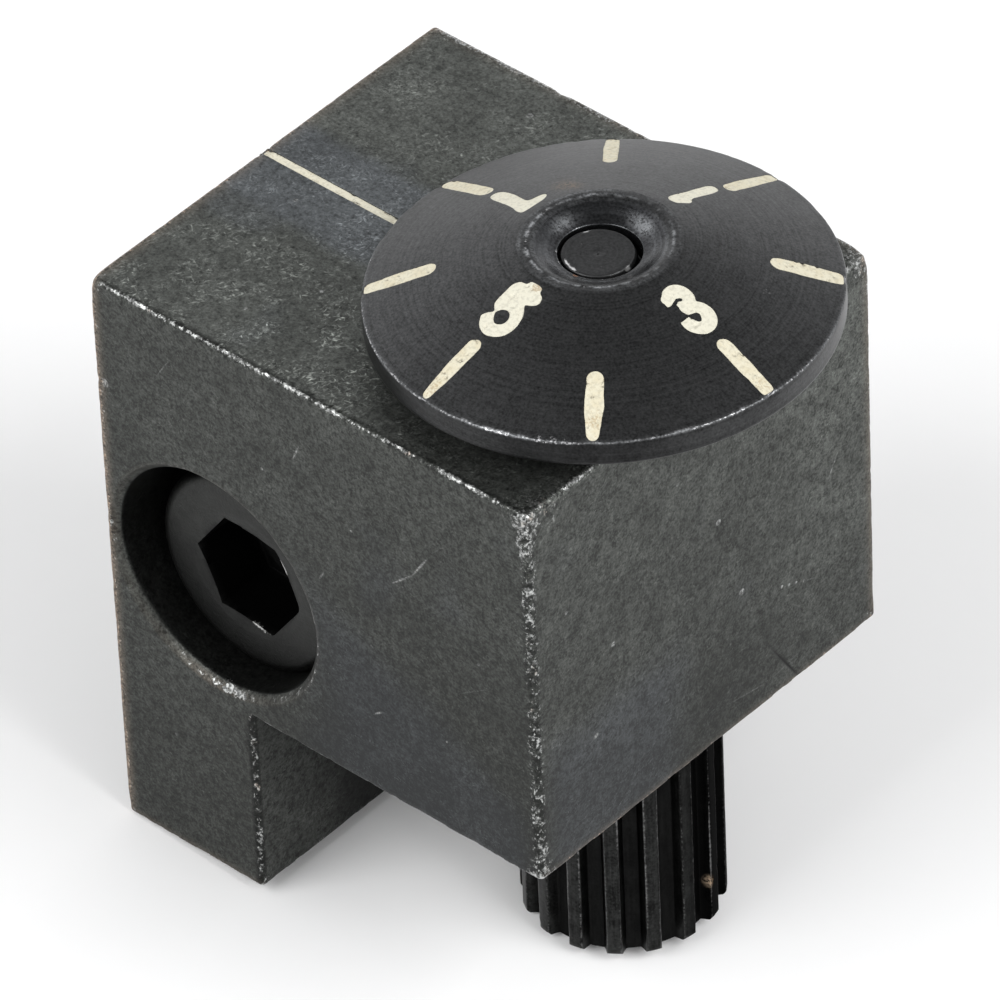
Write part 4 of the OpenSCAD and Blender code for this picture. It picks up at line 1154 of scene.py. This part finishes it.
# ---------------------------------------------------------------- materials
class Mat:
    """A small hand for node trees. A value is a number, a colour or another node's output."""

    def __init__(self, name):
        self.m = bpy.data.materials.new(name)
        self.m.use_nodes = True
        self.t = self.m.node_tree
        self.t.nodes.clear()
        self.out = self.t.nodes.new("ShaderNodeOutputMaterial")
        self.b = self.t.nodes.new("ShaderNodeBsdfPrincipled")
        self.t.links.new(self.b.outputs[0], self.out.inputs[0])

    def put(self, socket, value):
        if isinstance(value, bpy.types.NodeSocket):
            self.t.links.new(value, socket)
        elif isinstance(value, (tuple, list)) and socket.type == "RGBA":
            socket.default_value = tuple(value) + (1.0,) * (4 - len(value))
        else:
            socket.default_value = value

    def set(self, **values):
        for k, v in values.items():
            self.put(self.b.inputs[k.replace("_", " ")], v)

    def attr(self, name, vector=False):
        n = self.t.nodes.new("ShaderNodeAttribute")
        n.attribute_type = "GEOMETRY"
        n.attribute_name = name
        return n.outputs["Vector"] if vector else n.outputs["Fac"]

    def math(self, op, a, b=0.0, c=0.0, clamp=False):
        n = self.t.nodes.new("ShaderNodeMath")
        n.operation, n.use_clamp = op, clamp
        for s, v in zip(n.inputs, (a, b, c)):
            self.put(s, v)
        return n.outputs[0]

    def noise(self, vec, scale, detail=2.0, rough=0.5, distort=0.0):
        n = self.t.nodes.new("ShaderNodeTexNoise")
        self.put(n.inputs["Vector"], vec)
        for k, v in (("Scale", scale), ("Detail", detail), ("Roughness", rough), ("Distortion", distort)):
            self.put(n.inputs[k], v)
        return n.outputs["Fac"]

    def stretch(self, vec, scale, turn=(0, 0, 0), move=(0, 0, 0)):
        """vec turned, then scaled."""
        a = self.t.nodes.new("ShaderNodeMapping")
        self.put(a.inputs["Vector"], vec)
        a.inputs["Rotation"].default_value = tuple(math.radians(x) for x in turn)
        a.inputs["Location"].default_value = move
        b = self.t.nodes.new("ShaderNodeVectorMath")
        b.operation = "MULTIPLY"
        self.put(b.inputs[0], a.outputs[0])
        b.inputs[1].default_value = scale
        return b.outputs[0]

    def soft(self, x, a, b, lo=0.0, hi=1.0):
        n = self.t.nodes.new("ShaderNodeMapRange")
        n.interpolation_type = "SMOOTHSTEP"
        for k, v in (("Value", x), ("From Min", a), ("From Max", b), ("To Min", lo), ("To Max", hi)):
            self.put(n.inputs[k], v)
        return n.outputs[0]

    def mix(self, fac, a, b):
        """Colours or numbers."""
        color = not (isinstance(a, (int, float)) or (isinstance(a, bpy.types.NodeSocket) and a.type == "VALUE"))
        n = self.t.nodes.new("ShaderNodeMix")
        n.data_type = "RGBA" if color else "FLOAT"
        k = 6 if color else 2
        self.put(n.inputs[0], fac)
        self.put(n.inputs[k], a)
        self.put(n.inputs[k + 1], b)
        return n.outputs[2 if color else 0]

    def times(self, color, f):
        n = self.t.nodes.new("ShaderNodeVectorMath")
        n.operation = "SCALE"
        self.put(n.inputs[0], color)
        self.put(n.inputs["Scale"], f)
        return n.outputs[0]

    def bump(self, height, distance, normal=None, strength=1.0):
        n = self.t.nodes.new("ShaderNodeBump")
        n.inputs["Strength"].default_value = strength
        n.inputs["Distance"].default_value = distance
        self.put(n.inputs["Height"], height)
        if normal is not None:
            self.put(n.inputs["Normal"], normal)
        return n.outputs[0]


def block_material():
    m = Mat("block_black_oxide")
    loc = m.attr("loc", True)
    wear_and_highlight, mark, blue, bore_and_leg_shade, top, painted_light_and_shade = (m.attr(k) for k in ("wear_and_highlight", "mark", "blue", "bore_and_leg_shade", "top", "painted_light_and_shade"))
    # tumbling marks: short flecks, most of them lying one way, in patches
    strokes = None
    for turn, seed in ((-47, 3), (-80, 17), (-20, 29), (35, 41)):
        n = m.noise(m.stretch(loc, (3.5, 6.2, 6.2), (0, 0, turn), (seed, seed * .7, seed * .3)), 1.0, 1.5, 0.5, 0.6)
        s = m.soft(n, 0.58, 0.78)
        s = m.math("ADD", s, m.math("MULTIPLY", m.soft(n, 0.72, 0.82), 1.1))
        strokes = s if strokes is None else m.math("MAXIMUM", strokes, s)
    strokes = m.math("MULTIPLY", strokes, m.soft(m.noise(loc, 0.62, 2.5, 0.6), 0.38, 0.62, 0.12, 1.25))
    fine = m.noise(loc, 7.5, 3.0, 0.62, 0.5)
    grain = m.noise(loc, 2.6, 3.0, 0.6, 0.4)
    cloud = m.noise(loc, 0.42, 3.0, 0.55, 0.3)
    calm = m.math("MULTIPLY", blue, 0.15)
    rough_area = m.math("SUBTRACT", 1.0, calm)
    side = m.math("SUBTRACT", 1.0, m.math("MULTIPLY", top, 0.30))
    tex = m.math("MULTIPLY", side, m.math("ADD", m.math("MULTIPLY", m.math("SUBTRACT", fine, 0.5), 3.3), m.math("MULTIPLY", m.math("SUBTRACT", grain, 0.5), 2.5)))
    light = m.math("MULTIPLY", strokes, m.attr("fleck"))
    level = m.math("ADD", 1.0, m.math("MULTIPLY", m.math("ADD", tex, light), rough_area))
    # painted light and shade: each face's colour made lighter or darker as the light falls on it
    level = m.math("MULTIPLY", m.math("MULTIPLY", level, painted_light_and_shade), m.soft(cloud, 0.3, 0.7, 0.86, 1.14))
    grey = m.mix(blue, (0.088, 0.093, 0.086), (0.088, 0.095, 0.099))
    col = m.times(grey, m.math("MAXIMUM", level, 0.25))
    col = m.mix(m.math("MULTIPLY", m.attr("rub"), m.soft(fine, 0.30, 0.60, 0.55, 1.1), clamp=True), col, (0.290, 0.238, 0.190))
    # dark scratches, and painted shade inside the bores and on the leg's side under the block
    col = m.mix(m.math("MULTIPLY", m.math("MULTIPLY", mark, -1.0), 1.2, clamp=True), col, (0.012, 0.012, 0.012))
    col = m.mix(m.math("MULTIPLY", bore_and_leg_shade, 0.90), col, (0.006, 0.006, 0.006))
    # wear through to bright steel, broken up finely; the same mix also lays the painted highlight lines along the
    # counterbore's edge
    # dark crumbs between the worn specks
    crumb = m.math("MULTIPLY", m.soft(wear_and_highlight, 0.08, 0.4), m.soft(m.noise(m.stretch(loc, (1, 1, 1), (0, 0, 0), (5, 3, 8)), 6.0, 2.0, 0.6), 0.48, 0.60))
    col = m.mix(m.math("MULTIPLY", crumb, 0.7), col, (0.014, 0.014, 0.014))
    speck = m.math("ADD", m.math("MULTIPLY", m.noise(m.stretch(loc, (1.0, 1.0, 0.7)), 6.5, 3.0, 0.7), 0.80), m.math("MULTIPLY", m.noise(loc, 2.6, 2.0, 0.5), 0.40))
    over = m.math("ADD", m.math("MULTIPLY", wear_and_highlight, 1.0), m.math("MULTIPLY", m.math("SUBTRACT", speck, 0.60), 3.4))
    bare = m.math("MULTIPLY", m.soft(over, 0.42, 0.84), m.soft(wear_and_highlight, 0.05, 0.35))
    hit = m.math("MULTIPLY", m.soft(mark, 0.05, 0.55), m.soft(m.noise(loc, 8.0, 2.0), 0.28, 0.52))
    bare = m.math("MAXIMUM", bare, m.math("MULTIPLY", hit, 0.70))
    tint = m.mix(m.math("MAXIMUM", m.attr("warm"), m.soft(m.noise(loc, 1.1, 2.0), 0.60, 0.76, 0.0, 0.6)), (0.50, 0.51, 0.50), (0.40, 0.285, 0.20))
    tint = m.times(tint, m.soft(m.noise(loc, 7.0, 2.0, 0.6), 0.38, 0.64, 0.22, 1.05))
    col = m.mix(bare, col, tint)
    h = m.math("ADD", m.math("MULTIPLY", fine, 0.6), m.math("MULTIPLY", strokes, 0.45))
    h = m.math("ADD", h, m.math("MULTIPLY", grain, 0.5))
    h = m.math("MULTIPLY", h, rough_area)
    h = m.math("SUBTRACT", h, m.math("MULTIPLY", bare, 0.4))
    m.set(Base_Color=col, Metallic=0.9, Roughness=m.mix(bare, m.mix(blue, 0.50, 0.42), 0.34), Normal=m.bump(h, 0.000010))
    return m.m


def dial_material():
    m = Mat("dial_black_oxide")
    loc = m.attr("loc", True)
    wear_and_highlight, dish, stain, rust, radius, side, polish_and_highlight = (m.attr(k) for k in ("wear_and_highlight", "dish", "stain", "rust", "radius", "side", "polish_and_highlight"))
    split = m.t.nodes.new("ShaderNodeSeparateXYZ")
    m.put(split.inputs[0], loc)
    comb = m.t.nodes.new("ShaderNodeCombineXYZ")
    m.put(comb.inputs[0], radius)
    m.put(comb.inputs[1], m.math("MULTIPLY", split.outputs[2], side))
    rings = m.noise(comb.outputs[0], 7.0, 3.0, 0.7)
    broad = m.noise(comb.outputs[0], 1.3, 2.0, 0.5)
    fine = m.noise(loc, 9.0, 2.0, 0.6)
    patchy = m.noise(loc, 0.8, 3.0, 0.55)
    level = m.math("ADD", 1.0, m.math("MULTIPLY", m.math("SUBTRACT", rings, 0.5), 1.5))
    level = m.math("ADD", level, m.math("MULTIPLY", m.math("SUBTRACT", fine, 0.5), 1.75))
    level = m.math("ADD", level, m.math("MULTIPLY", m.math("SUBTRACT", m.noise(loc, 3.6, 2.0, 0.6), 0.5), 0.75))
    # painted light and shade on the rim's side, the cone and the dish
    level = m.math("MULTIPLY", m.math("MAXIMUM", level, 0.25), m.attr("painted_light_and_shade"))
    level = m.math("ADD", level, m.math("MULTIPLY", m.math("SUBTRACT", patchy, 0.5), 0.5))
    col = m.times((0.0585, 0.0595, 0.0605), level)
    col = m.mix(m.math("MULTIPLY", dish, 0.5), col, m.times((0.052, 0.055, 0.060), m.math("ADD", 1.0, m.math("ADD", m.math("MULTIPLY", m.math("SUBTRACT", rings, 0.5), 2.4), m.math("MULTIPLY", m.math("SUBTRACT", fine, 0.5), 2.4)))))
    # worn rings on the hub's crest, and painted highlights on the rim's edge and in the dish
    col = m.mix(m.math("MULTIPLY", polish_and_highlight, m.soft(fine, 0.32, 0.62, 0.20, 1.0), clamp=True), col, (0.42, 0.435, 0.45))
    col = m.mix(m.math("MULTIPLY", stain, m.soft(fine, 0.35, 0.6, 0.0, 0.75)), col, (0.16, 0.115, 0.075))
    speck = m.math("ADD", m.math("MULTIPLY", m.noise(loc, 9.0, 2.0, 0.6), 0.7), m.math("MULTIPLY", m.noise(loc, 3.0, 2.0, 0.5), 0.5))
    over = m.math("ADD", wear_and_highlight, m.math("MULTIPLY", m.math("SUBTRACT", speck, 0.60), 2.6))
    bare = m.math("MULTIPLY", m.soft(over, 0.42, 0.66), m.soft(wear_and_highlight, 0.08, 0.4))
    col = m.mix(bare, col, m.times((0.48, 0.48, 0.49), m.soft(m.noise(loc, 6.0, 2.0, 0.6), 0.36, 0.62, 0.30, 1.05)))
    col = m.mix(m.soft(rust, 0.3, 0.7), col, (0.22, 0.10, 0.05))
    h = m.math("ADD", m.math("MULTIPLY", rings, 1.0), m.math("MULTIPLY", fine, 0.5))
    h = m.math("ADD", h, m.math("MULTIPLY", broad, 1.0))
    n = m.bump(h, 0.0000060)
    m.set(Base_Color=col, Metallic=0.92, Roughness=m.mix(bare, m.mix(dish, 0.38, 0.26), 0.30), Normal=n)
    return m.m


def enamel_material():
    m = Mat("cream_enamel")
    loc, pits_and_socket_shade = m.attr("loc", True), m.attr("pits_and_socket_shade")
    dirt = m.attr("dirt")
    blot = m.noise(loc, 2.6, 3.0, 0.6)
    fine = m.noise(loc, 11.0, 2.0, 0.6)
    col = m.mix(m.soft(blot, 0.35, 0.7), (0.690, 0.652, 0.512), (0.655, 0.598, 0.440))
    col = m.mix(m.attr("pale"), col, (0.715, 0.695, 0.585))
    col = m.times(col, m.soft(m.noise(loc, 6.5, 2.0, 0.6), 0.32, 0.55, 0.84, 1.0))
    brown = m.math("MULTIPLY", m.soft(m.math("ADD", m.math("ADD", fine, m.math("MULTIPLY", m.math("SUBTRACT", m.noise(loc, 0.7, 1.0), 0.5), 0.35)), m.math("MULTIPLY", dirt, 0.20)), 0.62, 0.90), 0.6)
    col = m.mix(brown, col, (0.36, 0.24, 0.11))
    col = m.mix(m.math("MULTIPLY", pits_and_socket_shade, m.soft(fine, 0.35, 0.65)), col, (0.07, 0.055, 0.04))
    h = m.math("ADD", m.math("MULTIPLY", fine, 0.6), m.math("MULTIPLY", m.noise(loc, 4.0), 0.8))
    m.set(Base_Color=col, Roughness=0.55, Normal=m.bump(h, 0.000012))
    m.b.inputs["Specular IOR Level"].default_value = 0.35
    return m.m


def screw_material():
    m = Mat("screw_black_oxide")
    loc, wear_and_highlight, pits_and_socket_shade = m.attr("loc", True), m.attr("wear_and_highlight"), m.attr("pits_and_socket_shade")
    fine, patchy = m.noise(loc, 8.0, 3.0, 0.6), m.noise(loc, 1.6, 3.0, 0.6)
    level = m.math("ADD", 1.0, m.math("ADD", m.math("MULTIPLY", m.math("SUBTRACT", fine, 0.5), 0.9), m.math("MULTIPLY", m.math("SUBTRACT", patchy, 0.5), 0.9)))
    col = m.times((0.026, 0.027, 0.0255), level)
    # painted shade inside the hex socket
    col = m.mix(m.math("MULTIPLY", pits_and_socket_shade, 0.85), col, (0.004, 0.004, 0.004))
    # painted shade on the head's side wall and lower part
    col = m.mix(m.math("MULTIPLY", m.attr("head_shade"), 0.8), col, (0.008, 0.008, 0.008))
    bare = m.soft(m.math("ADD", wear_and_highlight, m.math("MULTIPLY", m.math("SUBTRACT", fine, 0.5), 0.8)), 0.30, 0.55)
    col = m.mix(m.math("MULTIPLY", bare, 0.9), col, (0.50, 0.50, 0.49))
    m.set(Base_Color=col, Metallic=0.9, Roughness=0.40, Normal=m.bump(m.math("ADD", fine, patchy), 0.000010))
    return m.m


def pinion_material():
    m = Mat("pinion_black_oxide")
    loc = m.attr("loc", True)
    wear_and_highlight, rust, disc, root, far_side_shade = (m.attr(k) for k in ("wear_and_highlight", "rust", "disc", "root", "far_side_shade"))
    comb = m.t.nodes.new("ShaderNodeCombineXYZ")
    m.put(comb.inputs[0], m.attr("radius"))
    turned = m.noise(comb.outputs[0], 8.0, 2.0, 0.6)
    fine = m.noise(loc, 8.0, 3.0, 0.6)
    drawn = m.noise(m.stretch(loc, (6.0, 6.0, 0.35)), 1.0, 3.0, 0.6)
    patchy = m.noise(loc, 1.2, 3.0, 0.6)
    level = m.math("ADD", 0.9, m.math("ADD", m.math("MULTIPLY", m.math("SUBTRACT", drawn, 0.5), 3.0), m.math("ADD", m.math("MULTIPLY", m.math("SUBTRACT", patchy, 0.5), 2.4), m.math("MULTIPLY", m.math("SUBTRACT", fine, 0.5), 3.2))))
    # painted shade on the pinion's far side
    level = m.math("MULTIPLY", m.math("MAXIMUM", level, 0.1), m.math("SUBTRACT", 1.0, m.math("MULTIPLY", far_side_shade, 0.9)))
    col = m.times((0.0150, 0.0155, 0.0150), level)
    # painted shade in the tooth gaps and on the neck inside the dial's hole
    col = m.mix(m.math("MULTIPLY", root, 0.8), col, (0.003, 0.003, 0.003))
    col = m.mix(m.math("MULTIPLY", disc, 0.9), col, m.times((0.060, 0.061, 0.062), m.math("ADD", m.math("MULTIPLY", turned, 0.9), m.math("ADD", -0.15, m.math("MULTIPLY", fine, 1.4)))))
    bare = m.soft(m.math("ADD", wear_and_highlight, m.math("MULTIPLY", m.math("SUBTRACT", fine, 0.5), 1.2)), 0.30, 0.90)
    col = m.mix(m.math("MULTIPLY", bare, m.mix(disc, 0.55, 0.95)), col, m.mix(disc, (0.26, 0.26, 0.26), (0.95, 0.95, 0.95)))
    col = m.mix(m.math("MULTIPLY", m.soft(rust, 0.25, 0.8), m.soft(fine, 0.35, 0.6)), col, (0.36, 0.27, 0.19))
    h = m.math("ADD", m.math("MULTIPLY", drawn, 0.5), m.math("MULTIPLY", fine, 0.5))
    m.set(Base_Color=col, Metallic=0.9, Roughness=m.mix(disc, 0.36, 0.42), Normal=m.bump(h, 0.000008))
    # painted shade: reflections dimmed on the far side and in the tooth gaps
    m.set(Specular_Tint=m.mix(m.math("MAXIMUM", far_side_shade, m.math("MULTIPLY", root, 0.6)), (1.0, 1.0, 1.0), (0.12, 0.12, 0.12)))
    return m.m


def washer_material():
    m = Mat("washer_steel")
    loc = m.attr("loc", True)
    radius = m.attr("radius")
    comb = m.t.nodes.new("ShaderNodeCombineXYZ")
    m.put(comb.inputs[0], radius)
    rings = m.noise(comb.outputs[0], 9.0, 2.0, 0.6)
    fine = m.noise(loc, 6.0, 3.0, 0.6)
    col = m.times((0.20, 0.20, 0.195), m.math("ADD", 0.6, m.math("ADD", m.math("MULTIPLY", rings, 0.5), m.math("MULTIPLY", fine, 0.35))))
    m.set(Base_Color=col, Metallic=1.0, Roughness=0.42, Normal=m.bump(rings, 0.000006))
    return m.m


# ---------------------------------------------------------------- pieces
block = block_mesh()
block.report("body_block")
piece("body_block", block, "block", ["body"], [block_material()], finish_block(block), sharp=50)

marks, numerals = mark_outlines(), numeral_outlines()
disc = dial_mesh(marks + numerals)
disc.report("dial_turned")
piece("dial_turned", disc, "dial_and_pinion", ["dial"], [dial_material()], finish_dial(disc), sharp=38)

enamel = enamel_material()
for name, groups, node in (("marks_enamel", marks, "dial_marks"), ("numerals_enamel", numerals, "dial_numerals")):
    b, q, pits_and_socket_shade = enamel_mesh(groups, 200)
    b.report(name)
    dirt = np.exp(-(np.hypot(q[:, 0] - 5.6, q[:, 1] + 7.0) / 0.5) ** 2) + np.exp(-(np.hypot(q[:, 0] + 1.0, q[:, 1] + 9.2) / 0.5) ** 2)
    dirt += 0.7 * np.exp(-(np.hypot(q[:, 0] - 9.3, q[:, 1] + 1.0) / 0.5) ** 2) + 0.6 * np.exp(-(np.hypot(q[:, 0] + 4.9, q[:, 1] - 6.2) / 0.6) ** 2)
    dirt += 1.7 * np.exp(-(np.hypot(q[:, 0] + 0.21, q[:, 1] + 3.70) / 0.30) ** 4) if node == "dial_numerals" else 0
    pits_and_socket_shade = pits_and_socket_shade * (0.45 if node == "dial_numerals" else 0.8)
    piece(name, b, "dial_and_pinion", [node], [enamel], {"loc": q, "pits_and_socket_shade": pits_and_socket_shade, "dirt": dirt, "pale": np.full(len(q), 0.8 if node == "dial_numerals" else 0.0)}, sharp=60)

line = strip_mesh()
line.report("line_enamel")
piece("line_enamel", line, "block", ["index_line"], [enamel],
      {"loc": line.p, "pits_and_socket_shade": step(0.72, 0.9, noise(line.p * [1, 2, 0], 0.3, 62)), "dirt": 0.5 * step(1.2, 0.2, line.p[:, 0]), "pale": np.full(len(line.p), 0.5)}, sharp=60)

screw = screw_mesh()
screw.report("cap_screw")
piece("cap_screw", screw, "block", ["mounting_screw"], [screw_material()], finish_screw(screw), sharp=42)

pinion = pinion_mesh()
pinion.report("pinion_and_spindle")
piece("pinion_and_spindle", pinion, "dial_and_pinion", ["pinion_spindle"], [pinion_material()], finish_pinion(pinion), sharp=42)

ring = washer_mesh()
ring.report("washer_ring")
piece("washer_ring", ring, "block", ["thrust_washer"], [washer_material()],
      {"loc": ring.p, "radius": np.hypot(ring.p[:, 0] - AX, ring.p[:, 1] - AY)}, sharp=42)


# ---------------------------------------------------------------- floor, light, camera
def plain(name, color, rough):
    m = Mat(name)
    grain = m.noise(m.stretch(m.t.nodes.new("ShaderNodeTexCoord").outputs["Object"], (900, 900, 900)), 1.0, 2.0)
    m.set(Base_Color=m.mix(grain, color, tuple(c * 0.985 for c in color)), Roughness=rough)
    m.b.inputs["Specular IOR Level"].default_value = 0.0
    return m.m


# The leg's lower left edge and the pinion's lower edge carry the part, so it leans by 3.8 degrees
# against the floor; the part keeps its frame and the floor is turned instead.
tilt = math.radians(3.77)
me = bpy.data.meshes.new("floor")
s = 6.0
me.from_pydata([(-s, -s, 0), (s, -s, 0), (s, s, 0), (-s, s, 0)], [], [(0, 1, 2, 3)])
floor = bpy.data.objects.new("floor", me)
bpy.context.scene.collection.objects.link(floor)
me.materials.append(plain("pale_floor", (0.97, 0.97, 0.97), 1.0))
contact = (np.array([0.0, AY, 0.0]) - ORIGIN) * 0.001
floor.matrix_world = Matrix.Translation((contact[0], contact[1], 0.00095 - 0.00002)) @ Matrix.Rotation(tilt, 4, "Y")


def softbox(name, azimuth, elevation, distance, size, power, color=(1, 1, 1)):
    """A square area light that looks at the part from a direction measured round it."""
    li = bpy.data.lights.new(name, "AREA")
    li.shape, li.size, li.energy, li.color = "SQUARE", size, power, color
    o = bpy.data.objects.new(name, li)
    bpy.context.scene.collection.objects.link(o)
    a, e = math.radians(azimuth), math.radians(elevation)
    at = Vector((math.cos(a) * math.cos(e), math.sin(a) * math.cos(e), math.sin(e))) * distance + Vector((0, 0, 0.02))
    o.matrix_world = Matrix.Translation(at) @ (Vector((0, 0, 0.02)) - at).to_track_quat("-Z", "Y").to_matrix().to_4x4()
    return o


softbox("key_left", -105, 42, 0.75, 0.45, 3.0)
softbox("key_right", 8, 42, 0.75, 0.45, 3.0)

world = bpy.data.worlds.new("studio")
bpy.context.scene.world = world
world.use_nodes = True
nt = world.node_tree
nt.nodes.clear()
wo = nt.nodes.new("ShaderNodeOutputWorld")
bg = nt.nodes.new("ShaderNodeBackground")
tc = nt.nodes.new("ShaderNodeTexCoord")
sep = nt.nodes.new("ShaderNodeSeparateXYZ")
ramp = nt.nodes.new("ShaderNodeValToRGB")
nt.links.new(tc.outputs["Generated"], sep.inputs[0])
nt.links.new(sep.outputs["Z"], ramp.inputs[0])
nt.links.new(ramp.outputs[0], bg.inputs[0])
nt.links.new(bg.outputs[0], wo.inputs[0])
e = ramp.color_ramp.elements
e[0].position, e[0].color = 0.0, (1.45, 1.45, 1.45, 1)
e[1].position, e[1].color = 1.0, (0.15, 0.15, 0.15, 1)
for at, v in ((0.22, 1.35), (0.45, 0.95), (0.66, 0.55), (0.85, 0.25)):
    k = e.new(at)
    k.color = (v, v, v * 1.01, 1)

cam = bpy.data.cameras.new("camera")
cam.sensor_width, cam.lens = 36.0, 413.24
cam.clip_start, cam.clip_end = 0.01, 20.0
view = bpy.data.objects.new("camera", cam)
bpy.context.scene.collection.objects.link(view)
turn = Vector((2.1770604609362056, 0.802319185305481, -0.4110617772412335))
R = Matrix.Rotation(turn.length, 3, turn.normalized())
eye = (np.array([260.638, -254.582, 322.525]) - ORIGIN) * 0.001
view.matrix_world = Matrix.Translation(eye) @ Matrix((R[0], -R[1], -R[2])).transposed().to_4x4()
bpy.context.scene.camera = view
bpy.context.scene.view_settings.view_transform = "Standard"
